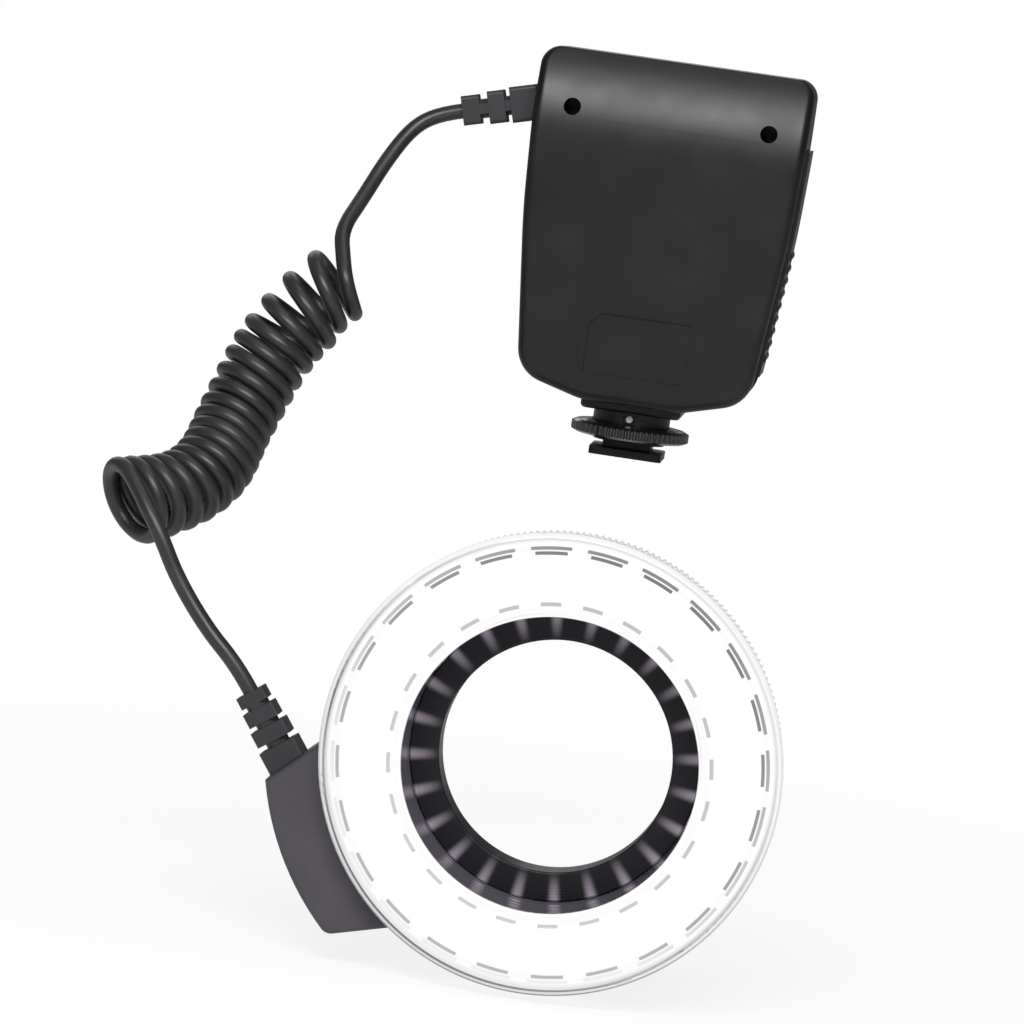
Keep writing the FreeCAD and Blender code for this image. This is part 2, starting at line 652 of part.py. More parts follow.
def rear_shell(shell):
    """The back half with its bosses, posts, display frame and control openings."""
    body = shell.common(seam_half(False))
    inside = UNIT_BACK - UNIT_WALL
    adds = [pin_ear(DOOR_BACK_Y + TRIM_GAP, DOOR_BACK_Y + DOOR_PIN_OVERHANG + 1.0)]
    for x in (-WELL_SPACING / 2, WELL_SPACING / 2):
        start = WELL_FLOOR_Y + WELL_FLOOR + FLAT_GAP
        adds.append(rod_y(BOSS_RADIUS, start, UNIT_BACK - UNIT_WALL / 2, x, WELL_Z))
    main = board_corners(MAIN_BOARD_HALF_WIDTH, MAIN_BOARD_BOTTOM, MAIN_BOARD_TOP, POST_RADIUS)
    adds += board_posts([(x, z) for x, z in main if z < BUTTON_BOARD_BOTTOM], MAIN_BOARD_Y + BOARD_THICKNESS)
    upper = [(x, z - 3.0) for x, z in main if z > BUTTON_BOARD_TOP]
    adds += board_posts(upper, MAIN_BOARD_Y + BOARD_THICKNESS)
    buttons = board_corners(BUTTON_BOARD_HALF_WIDTH, BUTTON_BOARD_BOTTOM, BUTTON_BOARD_TOP, POST_RADIUS)
    adds += board_posts(buttons, BUTTON_BOARD_Y + BOARD_THICKNESS)
    module_back = inside - WINDOW_LIP - FLAT_GAP
    frame = window_plate(3.0, module_back + FLAT_GAP, inside + UNIT_WALL / 2)
    frame = frame.cut(window_plate(WINDOW_LIP + TRIM_GAP, module_back - 1, inside))
    adds.append(frame)
    body = fused([body] + adds).cut([door_opening(), pin_slot()])
    body = fused([body, door_pocket().common(seam_half(False))])
    cuts = [relief_mouth()] + floor_cuts()
    for x in (-WELL_SPACING / 2, WELL_SPACING / 2):
        pilot = SCREW_RADIUS + PILOT_CLEARANCE
        cuts.append(rod_y(pilot, UNIT_SEAM_Y - 4, WELL_FLOOR_Y + SCREW_LENGTH + 2, x, WELL_Z))
    cuts.append(window_plate(TRIM_GAP, inside - 1, UNIT_BACK + 1))
    for x in button_places().values():
        cuts.append(button_outline(x, BUTTON_GAP, inside - 1, UNIT_BACK + 1))
    cuts.append(rod_y(TEST_BUTTON_RADIUS + BUTTON_GAP, inside - 1, UNIT_BACK + 1, TEST_BUTTON_X, LOWER_ROW_Z))
    cuts.append(slider_block(SLIDER_SLOT_WIDTH, SLIDER_SLOT_HEIGHT, inside - 1, UNIT_BACK + 1))
    return body.cut(cuts)


def shell_screws():
    """The two screws at the bottom of the wells."""
    solids = []
    for x in (-WELL_SPACING / 2, WELL_SPACING / 2):
        head = rod_y(SCREW_HEAD_RADIUS, WELL_FLOOR_Y - SCREW_HEAD_HEIGHT, WELL_FLOOR_Y, x, WELL_Z)
        shank = rod_y(SCREW_RADIUS, WELL_FLOOR_Y, WELL_FLOOR_Y + SCREW_LENGTH, x, WELL_Z)
        slot_y = WELL_FLOOR_Y - SCREW_HEAD_HEIGHT
        slots = [
            box(x - 1.2, x + 1.2, slot_y - 1, slot_y + 0.6, WELL_Z - 0.3, WELL_Z + 0.3),
            box(x - 0.3, x + 0.3, slot_y - 1, slot_y + 0.6, WELL_Z - 1.2, WELL_Z + 1.2),
        ]
        solids.append(fused([head, shank]).cut(slots))
    return solids


# Battery bay

def cell_heights():
    """Z of each cell's middle."""
    return [CELL_FIRST_Z + CELL_PITCH * i for i in range(CELL_COUNT)]


def cell_right_x():
    """X of the cells' positive ends."""
    return CELL_LEFT_X + CELL_LENGTH + CELL_NUB_LENGTH


def cell_solids():
    """Four cells, one above the other, along X."""
    solids = []
    for z in cell_heights():
        can = rod_x(CELL_RADIUS, CELL_LEFT_X, CELL_LEFT_X + CELL_LENGTH, CELL_Y, z)
        can = can.makeFillet(0.5, [e for e in can.Edges if e.Curve.TypeId == "Part::GeomCircle"])
        nub = rod_x(CELL_NUB_RADIUS, CELL_LEFT_X + CELL_LENGTH - 0.6, cell_right_x(), CELL_Y, z)
        solids.append(fused([can, nub]))
    return solids


def battery_tray():
    """The bay that cradles the cells, open to the door."""
    low = CELL_FIRST_Z - CELL_RADIUS - CELL_CLEARANCE
    high = cell_heights()[-1] + CELL_RADIUS + CELL_CLEARANCE
    left = CELL_LEFT_X - SPRING_LENGTH - CONTACT_THICKNESS
    right = CELL_LEFT_X + CELL_LENGTH - 1.0
    cradle = box(left, right, TRAY_CRADLE_Y, TRAY_BACK_Y, low - TRAY_WALL, high + TRAY_WALL)
    pockets = [rod_x(CELL_RADIUS + CELL_CLEARANCE, left - 1, right + 1, CELL_Y, z) for z in cell_heights()]
    cradle = cradle.cut(pockets)
    floor = box(left, right, TRAY_FRONT_Y, TRAY_BACK_Y, low - TRAY_WALL, low)
    roof = box(left, right, TRAY_FRONT_Y, TRAY_BACK_Y, high, high + TRAY_WALL)
    end = box(left - TRAY_WALL, left, TRAY_FRONT_Y + 1.2, TRAY_BACK_Y, low + 1.5, high + TRAY_WALL)
    return fused([cradle, floor, roof, end]).common(unit_prism(UNIT_WALL + FLAT_GAP))


def cell_springs():
    """A cone spring at each cell's flat end, drawn as its outer form."""
    plate_x = CELL_LEFT_X - SPRING_LENGTH
    return [
        Part.makeCone(SPRING_FOOT_RADIUS, SPRING_TIP_RADIUS, SPRING_LENGTH, Vector(plate_x, CELL_Y, z), Vector(1, 0, 0))
        for z in cell_heights()
    ]


def contact_strips(x0, x1, overhang):
    """Plates that join the cells in pairs and reach past their middles by an overhang."""
    heights = cell_heights()
    return [
        box(x0, x1, CELL_Y - CONTACT_HALF_WIDTH, CELL_Y + CONTACT_HALF_WIDTH,
            heights[i] - overhang, heights[i + 1] + overhang)
        for i in range(0, CELL_COUNT - 1, 2)
    ]


def door_contacts():
    """The plates on the door's inner side."""
    start = cell_right_x() + FLAT_GAP
    return contact_strips(start, start + CONTACT_THICKNESS, DOOR_CONTACT_OVERHANG)


def battery_door():
    """The ribbed door with its hinge barrel and the carrier for its contact plates."""
    outside = unit_prism(-DOOR_STAND)
    skin = outside.cut(unit_prism(DOOR_THICKNESS))
    skin = skin.common(box(0, UNIT_WIDTH, DOOR_FRONT_Y, DOOR_BACK_Y, DOOR_PIN_Z, DOOR_TOP))
    lower = box(DOOR_PIN_X, UNIT_WIDTH, DOOR_FRONT_Y, DOOR_BACK_Y, DOOR_PIN_Z - 0.4, DOOR_PIN_Z + 1.6)
    lower = lower.common(outside)
    barrel = rod_y(DOOR_BARREL_RADIUS, DOOR_FRONT_Y, DOOR_BACK_Y, DOOR_PIN_X, DOOR_PIN_Z)
    carrier_x = cell_right_x() + FLAT_GAP + CONTACT_THICKNESS
    low = DOOR_PIN_Z + DOOR_BARREL_RADIUS
    high = cell_heights()[-1] + CELL_RADIUS
    front = CELL_Y - 5.0
    front = max(front, DOOR_FRONT_Y)
    plate = box(carrier_x, carrier_x + CARRIER_THICKNESS, front, CARRIER_BACK_Y, low, high)
    inside = unit_prism(DOOR_THICKNESS / 2)
    ribs = [
        box(carrier_x, UNIT_WIDTH, y, y + CARRIER_THICKNESS, low, high).common(inside)
        for y in (front, CARRIER_BACK_Y - CARRIER_THICKNESS)
    ]
    grips = []
    for i in range(DOOR_RIB_COUNT):
        z = DOOR_RIB_START + DOOR_RIB_PITCH * i
        x = side_x(z) + DOOR_STAND - DOOR_RIB_SINK
        grips.append(rod_y(DOOR_RIB_RADIUS, DOOR_FRONT_Y + 2.5, DOOR_BACK_Y - 2.5, x, z))
    door = fused([skin, lower, barrel, plate] + ribs + grips)
    return door.cut(rod_y(DOOR_PIN_RADIUS + RUN_FIT, UNIT_FRONT, UNIT_BACK, DOOR_PIN_X, DOOR_PIN_Z))


def door_pin():
    """The pin that the door turns on, whose ends slide in the shells."""
    return rod_y(DOOR_PIN_RADIUS, DOOR_FRONT_Y - DOOR_PIN_OVERHANG, DOOR_BACK_Y + DOOR_PIN_OVERHANG,
                 DOOR_PIN_X, DOOR_PIN_Z)


# Boards, display and controls

def main_board():
    """The main board behind the cells, with its larger parts."""
    y0, y1 = MAIN_BOARD_Y, MAIN_BOARD_Y + BOARD_THICKNESS
    board = box(-MAIN_BOARD_HALF_WIDTH, MAIN_BOARD_HALF_WIDTH, y0, y1, MAIN_BOARD_BOTTOM, MAIN_BOARD_TOP)
    parts = [
        box(x0, x1, y1, y1 + BOARD_PART_HEIGHT, MAIN_BOARD_BOTTOM + low, MAIN_BOARD_BOTTOM + high)
        for x0, x1, low, high in BOARD_PARTS
    ]
    return fused([board] + parts)


def button_board():
    """The board under the buttons, with a switch under each."""
    y1 = BUTTON_BOARD_Y + BOARD_THICKNESS
    board = box(-BUTTON_BOARD_HALF_WIDTH, BUTTON_BOARD_HALF_WIDTH, BUTTON_BOARD_Y, y1,
                BUTTON_BOARD_BOTTOM, BUTTON_BOARD_TOP)
    top = button_flange_front() - BUTTON_TRAVEL - 0.1
    switches = [box(x - 2.2, x + 2.2, y1, top, BUTTON_Z - 2.2, BUTTON_Z + 2.2) for x in button_places().values()]
    switches.append(box(TEST_BUTTON_X - 2.2, TEST_BUTTON_X + 2.2, y1, top, LOWER_ROW_Z - 2.2, LOWER_ROW_Z + 2.2))
    switches.append(slider_block(SLIDER_SLOT_WIDTH, SLIDER_SLOT_HEIGHT - 1.0, y1, top - 0.6))
    return fused([board] + switches)


def button_flange_front():
    """Y of the inner face of each button's flange."""
    return UNIT_BACK - UNIT_WALL - BUTTON_GAP - BUTTON_FLANGE


def oblong_button(x):
    """A button with the flange that keeps it in."""
    inner = button_flange_front()
    cap = button_outline(x, 0.0, inner, UNIT_BACK + BUTTON_STAND)
    rim = [e for e in cap.Edges if e.BoundBox.YMin > UNIT_BACK + BUTTON_STAND - 0.01]
    flange = button_outline(x, 0.8, inner, inner + BUTTON_FLANGE)
    return fused([cap.makeFillet(0.4, rim), flange])


def test_button():
    """The round button with its flange."""
    inner = button_flange_front()
    cap = rod_y(TEST_BUTTON_RADIUS, inner, UNIT_BACK + BUTTON_STAND, TEST_BUTTON_X, LOWER_ROW_Z)
    rim = [e for e in cap.Edges if e.BoundBox.YMin > UNIT_BACK + BUTTON_STAND - 0.01]
    flange = rod_y(TEST_BUTTON_RADIUS + 0.9, inner, inner + BUTTON_FLANGE, TEST_BUTTON_X, LOWER_ROW_Z)
    return fused([cap.makeFillet(0.5, rim), flange])


def power_slider():
    """The power slider at its off end, with the plate that closes the slot."""
    inner = button_flange_front()
    off_x = SLIDER_X - SLIDER_TRAVEL / 2
    knob = slider_block(SLIDER_KNOB_WIDTH, SLIDER_SLOT_HEIGHT - 0.6, inner, UNIT_BACK + 0.8, off_x)
    plate_width = SLIDER_SLOT_WIDTH + SLIDER_TRAVEL - 0.6
    plate = slider_block(plate_width, SLIDER_SLOT_HEIGHT + 2.0, inner, inner + BUTTON_FLANGE, off_x)
    grooves = [
        box(off_x + d - 0.35, off_x + d + 0.35, UNIT_BACK + 0.4, UNIT_BACK + 2, LOWER_ROW_Z - 4, LOWER_ROW_Z + 4)
        for d in (-2.0, 0.0, 2.0)
    ]
    return fused([knob, plate]).cut(grooves)


def display_window():
    """The clear window with a lip inside the wall."""
    inside = UNIT_BACK - UNIT_WALL
    lip = window_plate(WINDOW_LIP, inside - WINDOW_LIP, inside)
    pane = window_plate(0.0, inside - WINDOW_LIP, UNIT_BACK - UNIT_WALL + WINDOW_THICKNESS)
    return fused([pane, lip])


def display_module():
    """The display behind the window."""
    back = UNIT_BACK - UNIT_WALL - WINDOW_LIP - FLAT_GAP
    return window_plate(WINDOW_LIP + 0.2, back - MODULE_DEPTH, back)


# Foot

def foot_base():
    """The heel block, collar and threaded barrel under the unit, and the neck in the shoe."""
    heel = box(-HEEL_WIDTH / 2, HEEL_WIDTH / 2, -HEEL_LENGTH / 2, HEEL_LENGTH / 2, HEEL_BOTTOM, UNIT_BOTTOM)
    heel = heel.makeFillet(2.0, [e for e in heel.Edges if e.BoundBox.ZLength > 1])
    heel = heel.makeFillet(HEEL_EDGE, [e for e in heel.Edges if e.BoundBox.ZMax < HEEL_BOTTOM + 0.01])
    collar = rod_z(COLLAR_RADIUS, COLLAR_BOTTOM, HEEL_BOTTOM)
    barrel = rod_z(BARREL_RADIUS, NECK_TOP, COLLAR_BOTTOM)
    neck = box(-NECK_WIDTH / 2, NECK_WIDTH / 2, -NECK_WIDTH / 2, NECK_WIDTH / 2, FOOT_THICKNESS, NECK_TOP)
    solid = fused([heel, collar, barrel, neck])
    cuts = [rod_z(CORE_RADIUS, 0, UNIT_BOTTOM + 1)]
    half = NOTCH_WIDTH / 2
    notch_y = NOTCH_DEPTH - COLLAR_RADIUS
    cuts.append(box(-half, half, -COLLAR_RADIUS - 1, notch_y, COLLAR_BOTTOM - 1, HEEL_BOTTOM - HEEL_EDGE * 0.2))
    cuts.append(rod_y(PEG_RADIUS + RUN_FIT, notch_y - 1, notch_y + PEG_LENGTH, 0, peg_height()))
    for x, y in foot_screw_spots():
        cuts.append(rod_z(FOOT_SCREW_RADIUS + PILOT_CLEARANCE, HEEL_BOTTOM + 0.5, UNIT_BOTTOM + 1, x, y))
    return solid.cut(cuts)


def peg_height():
    """Z of the index peg, in the middle of the collar."""
    return (COLLAR_BOTTOM + HEEL_BOTTOM) / 2


def index_peg():
    """The round peg in the collar's notch that marks the front."""
    seat = NOTCH_DEPTH - COLLAR_RADIUS
    return rod_y(PEG_RADIUS, seat - PEG_STAND, seat + PEG_LENGTH - FLAT_GAP, 0, peg_height())


def foot_plate():
    """The metal plate that goes into the shoe, with stepped holes for the contact pins."""
    plate = box(-FOOT_WIDTH / 2, FOOT_WIDTH / 2, -FOOT_LENGTH / 2, FOOT_LENGTH / 2, 0, FOOT_THICKNESS)
    plate = plate.makeChamfer(0.8, [e for e in plate.Edges if e.BoundBox.ZLength > 1])
    cuts = []
    for x, y in contact_spots():
        cuts.append(rod_z(PIN_RADIUS + RUN_FIT, -1, FOOT_THICKNESS, x, y))
        cuts.append(rod_z(PIN_FLANGE_RADIUS + RUN_FIT, FOOT_FLOOR, FOOT_THICKNESS + 1, x, y))
    return plate.cut(cuts)


def foot_screws():
    """Four screws from inside the unit into the heel block."""
    top = UNIT_BOTTOM + UNIT_WALL
    return [
        fused([rod_z(FOOT_SCREW_HEAD, top, top + 1.4, x, y), rod_z(FOOT_SCREW_RADIUS, HEEL_BOTTOM + 0.7, top, x, y)])
        for x, y in foot_screw_spots()
    ]


def contact_spots():
    """The middle contact and the four round it."""
    spots = [(0.0, 0.0)]
    spots += [(x, y) for x in (-PIN_OFFSET, PIN_OFFSET) for y in (-PIN_OFFSET, PIN_OFFSET)]
    return spots


def contact_pins():
    """Sprung pins with a flange, standing out below the foot."""
    solids = []
    for x, y in contact_spots():
        shank = rod_z(PIN_RADIUS, -PIN_STAND, PIN_TOP, x, y)
        tip = [e for e in shank.Edges if e.BoundBox.ZMax < -PIN_STAND + 0.01]
        flange = rod_z(PIN_FLANGE_RADIUS, FOOT_FLOOR, PIN_FLANGE_TOP, x, y)
        solids.append(fused([shank.makeFillet(0.4, tip), flange]))
    return solids


def contact_springs():
    """A small spring behind each pin, drawn as its outer form."""
    solids = []
    for x, y in contact_spots():
        tube = rod_z(PIN_FLANGE_RADIUS, PIN_FLANGE_TOP + 0.05, CARRIER_Z - 0.05, x, y)
        solids.append(tube.cut(rod_z(PIN_RADIUS + 0.12, 0, CARRIER_Z + 1, x, y)))
    return solids


def contact_carrier():
    """The disc in the barrel that the springs push on."""
    return rod_z(CORE_RADIUS - 0.05, CARRIER_Z, CARRIER_Z + CONTACT_CARRIER_HEIGHT)


def clamp_washer():
    """The washer that the lock wheel presses on the shoe's rails."""
    low = NECK_TOP
    return rod_z(WASHER_RADIUS, low, low + WASHER_THICKNESS).cut(rod_z(BARREL_RADIUS + RUN_FIT, 0, 20))


def lock_wheel():
    """The knurled wheel: a disc thinning to its rim above and below, ribbed round it."""
    low = NECK_TOP + WASHER_THICKNESS + 0.1
    high = low + WHEEL_THICKNESS
    slope = (WHEEL_THICKNESS - WHEEL_RIM) / 2
    ease = (WHEEL_THICKNESS - WHEEL_BAND) / 2
    inner = BARREL_RADIUS + RUN_FIT
    corners = [
        (inner, low), (WHEEL_HUB_RADIUS, low), (WHEEL_BAND_RADIUS, low + ease), (WHEEL_RADIUS, low + slope),
        (WHEEL_RADIUS, high - slope), (WHEEL_BAND_RADIUS, high - ease), (WHEEL_HUB_RADIUS, high), (inner, high),
    ]
    points = [Vector(r, 0, z) for r, z in corners]
    face = Part.Face(Part.makePolygon(points + [points[0]]))
    wheel = face.revolve(Vector(0, 0, 0), Vector(0, 0, 1), 360)
    grooves = []
    for i in range(WHEEL_RIB_COUNT):
        angle = 2 * math.pi * i / WHEEL_RIB_COUNT
        reach = WHEEL_RADIUS + WHEEL_GROOVE_RADIUS - WHEEL_RIB_DEPTH
        grooves.append(rod_z(WHEEL_GROOVE_RADIUS, low - 1, high + 1,
                             reach * math.cos(angle), reach * math.sin(angle)))
    seat = rod_z(COLLAR_RADIUS + FLAT_GAP, COLLAR_BOTTOM - WHEEL_LIFT - 0.3, high + 1)
    return wheel.cut(grooves + [seat])


# Strain reliefs

def relief(blocks, core, origin, direction, inside, keep_off):
    """A ribbed strain relief: blocks on a core, with a web; keep_off trims all but the core."""
    tip = blocks[-1][0] + blocks[-1][1]
    neck = Part.makeCylinder(core, tip + inside, Vector(-inside, 0, 0), Vector(1, 0, 0))
    parts = []
    for start, length, half in blocks:
        flat = half * RELIEF_BACK_HALF
        block = box(start, start + length, -flat, flat, -half, half)
        block = block.makeFillet(RELIEF_EDGE, [e for e in block.Edges if e.BoundBox.XLength > 1])
        parts.append(block)
    web = blocks[-1][2] * RELIEF_WEB
    last = blocks[-1]
    parts.append(box(blocks[0][0] + 1, last[0] + 1, -last[2] * RELIEF_BACK_HALF, last[2] * RELIEF_BACK_HALF,
                     -web, web))
    place = FreeCAD.Placement(origin, FreeCAD.Rotation(Vector(1, 0, 0), direction))
    ribs = fused(parts)
    ribs.Placement = place
    neck.Placement = place
    return fused([ribs.cut(keep_off), neck])


def relief_tip(blocks, origin, direction):
    """The middle of a strain relief's outer face."""
    return origin + direction * (blocks[-1][0] + blocks[-1][1])


def unit_relief():
    """The relief at the unit, with a flange inside the shells."""
    origin, direction = unit_relief_axis()
    side = box(-UNIT_WIDTH / 2 - RUN_FIT, 0, UNIT_FRONT, UNIT_BACK, 0, UNIT_TOP)
    body = relief(UNIT_RELIEF_BLOCKS, UNIT_RELIEF_CORE, origin, direction, UNIT_WALL + 1.0, side)
    flange_x = -UNIT_WIDTH / 2 + UNIT_WALL + 0.3
    flange = rod_x(UNIT_RELIEF_FLANGE, flange_x, flange_x + 1.5, UNIT_SEAM_Y, UNIT_RELIEF_Z)
    return fused([body, flange])


def ring_relief_axis():
    """Where the ring's strain relief starts, on the cord block's top face, and its direction."""
    corner = block_top_corner()
    line = math.radians(BLOCK_TOP_LINE)
    along = Vector(math.cos(line), 0, math.sin(line))
    lean = math.radians(BLOCK_TOP_LINE - 90.0 - RING_RELIEF_TURN)
    outer = Vector(corner.x, RELIEF_EXIT_Y, RING_Z + corner.z)
    return outer - along * (RING_RELIEF_BLOCKS[0][2] + RELIEF_MARGIN), Vector(math.cos(lean), 0, math.sin(lean))


def ring_relief():
    """The relief at the ring head, with a stub in the cord block."""
    origin, direction = ring_relief_axis()
    block = cord_block(-RUN_FIT, BLOCK_FRONT, HOUSING_BACK)
    return relief(RING_RELIEF_BLOCKS, RING_RELIEF_CORE, origin, direction, BLOCK_WALL + 1.6, block)


# Cord

def smooth_value(turn, column):
    """The value of one column of the coil's keys at a turn number, on a smooth curve."""
    turns = [key[0] for key in COIL_KEYS]
    i = 0
    while i < len(turns) - 2 and turn > turns[i + 1]:
        i += 1
    def slope(k):
        low, high = max(k - 1, 0), min(k + 1, len(turns) - 1)
        return (COIL_KEYS[high][column] - COIL_KEYS[low][column]) / (turns[high] - turns[low])
    span = turns[i + 1] - turns[i]
    t = (turn - turns[i]) / span
    a, b = COIL_KEYS[i][column], COIL_KEYS[i + 1][column]
    return (
        (2 * t ** 3 - 3 * t ** 2 + 1) * a + (t ** 3 - 2 * t ** 2 + t) * span * slope(i)
        + (3 * t ** 2 - 2 * t ** 3) * b + (t ** 3 - t ** 2) * span * slope(i + 1)
    )


def coil_point(turn):
    """A point of the curly cord's middle line at a turn number."""
    middle = Vector(*[smooth_value(turn, column) for column in (1, 2, 3)])
    lean = math.radians(smooth_value(turn, 4))
    tilt = math.radians(smooth_value(turn, 5))
    level = Vector(-math.sin(lean), 0, -math.cos(lean))
    across = Vector(math.cos(lean), 0, -math.sin(lean))
    forward = Vector(0, -math.cos(tilt), 0) - level * math.sin(tilt)
    phase = 2 * math.pi * turn
    return middle + (forward * math.cos(phase) + across * math.sin(phase)) * smooth_value(turn, 6)


def coil_direction(turn):
    """The direction of the curly cord at a turn number."""
    step = 0.002
    return (coil_point(turn + step) - coil_point(turn - step)).normalize()


def arc_from(start, direction, end):
    """An arc from a point, leaving in a direction, to another point."""
    chord = end - start
    unit = Vector(chord).normalize()
    sideways = direction - unit * direction.dot(unit)
    angle = direction.getAngle(chord)
    if sideways.Length < 1e-6:
        return Part.LineSegment(start, end).toShape()
    middle = (start + end) * 0.5 + sideways.normalize() * (chord.Length / 2 * math.tan(angle / 2))
    return Part.Arc(start, middle, end).toShape()


def biarc(p0, d0, p1, d1):
    """Two arcs that join two points and leave each in its own direction."""
    v = p1 - p0
    total = d0 + d1
    spread = 2 * (1 - d0.dot(d1))
    if spread < 1e-9:
        reach = v.dot(v) / (4 * v.dot(d1))
    else:
        reach = (-v.dot(total) + math.sqrt(v.dot(total) ** 2 + spread * v.dot(v))) / spread
    joint = (p0 + d0 * reach + p1 - d1 * reach) * 0.5
    first = arc_from(p0, d0, joint)
    second = arc_from(p1, d1 * -1, joint)
    return [first, Part.Arc(joint, second.valueAt(second.FirstParameter * 0.5 + second.LastParameter * 0.5),
                            p1).toShape()]


def coil_ends():
    """Start and end of the coil's solid, with the directions there."""
    first, last = coil_point(COIL_START_TURN), coil_point(COIL_END_TURN)
    out, away = coil_direction(COIL_START_TURN), coil_direction(COIL_END_TURN)
    return first - out * CORD_STUB, out, last + away * CORD_STUB, away


def coil_edges():
    """The coil's middle line: a straight stub, arcs of a quarter turn in pairs, a straight stub."""
    begin, out, finish, away = coil_ends()
    turns = [COIL_START_TURN] + [i / 4 for i in range(1, math.floor(COIL_END_TURN * 4) + 1)] + [COIL_END_TURN]
    edges = [Part.LineSegment(begin, coil_point(turns[0])).toShape()]
    for a, b in zip(turns, turns[1:]):
        edges += biarc(coil_point(a), coil_direction(a), coil_point(b), coil_direction(b))
    edges.append(Part.LineSegment(coil_point(turns[-1]), finish).toShape())
    return edges


def tube_along(edges, start, direction):
    """A round solid of the cord's size along joined edges."""
    profile = Part.Wire(Part.makeCircle(CORD_RADIUS, start, direction))
    return Part.Wire(edges).makePipeShell([profile], True, False)


def lead_edges(points, name):
    """Straight runs joined by arcs as large as the runs allow."""
    edges = []
    here = points[0]
    radii = []
    for before, corner, after in zip(points, points[1:], points[2:]):
        to_before, to_after = before - corner, after - corner
        shorter = min(to_before.Length, to_after.Length)
        half_turn = (math.pi - to_before.getAngle(to_after)) / 2
        radius = 0.45 * shorter / math.tan(half_turn)
        reach = 0.45 * shorter
        to_before = Vector(to_before).normalize()
        to_after = Vector(to_after).normalize()
        bisector = (to_before + to_after).normalize()
        middle = corner + bisector * (radius / math.cos(half_turn) - radius)
        start, end = corner + to_before * reach, corner + to_after * reach
        edges.append(Part.LineSegment(here, start).toShape())
        edges.append(Part.Arc(start, middle, end).toShape())
        radii.append(round(radius, 1))
        here = end
    edges.append(Part.LineSegment(here, points[-1]).toShape())
    print(name, "radii", radii, "runs", [round((b - a).Length, 1) for a, b in zip(points, points[1:])])
    return edges


def upper_lead_points():
    """The route from the unit's relief to the coil."""
    origin, direction = unit_relief_axis()
    begin, out, _, _ = coil_ends()
    tip = relief_tip(UNIT_RELIEF_BLOCKS, origin, direction)
    first = tip + direction * UPPER_FIRST_RUN
    return [tip, first] + [Vector(*p) for p in UPPER_LEAD] + [begin - out * UPPER_LAST_RUN, begin]


def lower_lead_points():
    """The route from the coil to the ring's relief."""
    origin, direction = ring_relief_axis()
    _, _, finish, away = coil_ends()
    tip = relief_tip(RING_RELIEF_BLOCKS, origin, direction)
    first = finish + away * LOWER_FIRST_RUN
    return [finish, first] + [Vector(*p) for p in LOWER_LEAD] + [tip + direction * LOWER_LAST_RUN, tip]


def report_tube(name, solid, edges):
    """Print a tube's length and compare its volume with its section times its length."""
    length = sum(edge.Length for edge in edges)
    share = solid.Volume / (math.pi * CORD_RADIUS ** 2 * length)
    print(name, "length", round(length, 1), "volume over section times length", round(share, 4))


def report_coil_gap(edges):
    """Print the coil's least gap to itself, measured on points of its middle line."""
    points = []
    travelled = 0.0
    for edge in edges:
        steps = max(2, int(edge.Length / 0.5))
        for point in edge.discretize(steps)[:-1]:
            points.append((travelled + (point - edge.Vertexes[0].Point).Length, point))
        travelled += edge.Length
    least = 1e9
    for i, (s, p) in enumerate(points):
        for t, q in points[i + 40:]:
            if t - s > math.pi * COIL_KEYS[0][6] and abs(p.x - q.x) < 12 and abs(p.z - q.z) < 12:
                least = min(least, (p - q).Length)
    print("coil least gap", round(least - 2 * CORD_RADIUS, 3), "turns", COIL_END_TURN - COIL_START_TURN)


def cord_nodes():
    """The two free leads and the coil between them."""
    for name, points in (("cord_upper_lead", upper_lead_points()), ("cord_lower_lead", lower_lead_points())):
        edges = lead_edges(points, name)
        tube = tube_along(edges, points[0], points[1] - points[0])
        report_tube(name, tube, edges)
        keep(name, tube)
    edges = coil_edges()
    begin, out, _, _ = coil_ends()
    coil = tube_along(edges, begin, out)
    report_tube("cord_coil", coil, edges)
    report_coil_gap(edges)
    keep("cord_coil", coil)


# Ring head

def front_cover():
    """The clear front: a flat ring with a lip, an outer skirt and a skirt down the bore."""
    flat = RING_FRONT + COVER_THICKNESS
    lip = RING_RADIUS + COVER_LIP_STAND
    inner = RING_BORE + COVER_INNER_SKIRT
    inner_end = HOUSING_BACK - HOUSING_LEDGE - FLAT_GAP
    corners = [
        (RING_BORE, RING_FRONT, 0.6),
        (lip, RING_FRONT, COVER_EDGE),
        (lip, RING_FRONT + COVER_LIP_DEPTH - COVER_LIP_STAND / 2, 0.4),
        (RING_RADIUS, RING_FRONT + COVER_LIP_DEPTH, 0.4),
        (RING_RADIUS, RING_FRONT + COVER_DEPTH, 0),
        (RING_RADIUS - COVER_SKIRT, RING_FRONT + COVER_DEPTH, 0),
        (RING_RADIUS - COVER_SKIRT, flat, 0.8),
        (inner, flat, 0),
        (inner, inner_end, 0),
        (RING_BORE, inner_end, 0),
    ]
    return turned(corners)


def ray_to_radius(start, degrees, radius):
    """Where a line from a point, seen from the front, first leaves a circle about the ring's axis."""
    x, z = start
    angle = math.radians(degrees)
    along = x * math.cos(angle) + z * math.sin(angle)
    reach = math.sqrt(along ** 2 + radius ** 2 - x ** 2 - z ** 2) - along
    return Vector(x + reach * math.cos(angle), 0, z + reach * math.sin(angle))


def block_start(past, degrees):
    """A point at a radius past the ring's, seen from the front, about the ring's axis."""
    angle = math.radians(degrees)
    return (RING_RADIUS + past) * math.cos(angle), (RING_RADIUS + past) * math.sin(angle)


def block_top_corner():
    """The outer corner of the cord block's top, about the ring's axis."""
    return ray_to_radius(block_start(*BLOCK_TOP_START), BLOCK_TOP_LINE, BLOCK_OUTER_RADIUS)


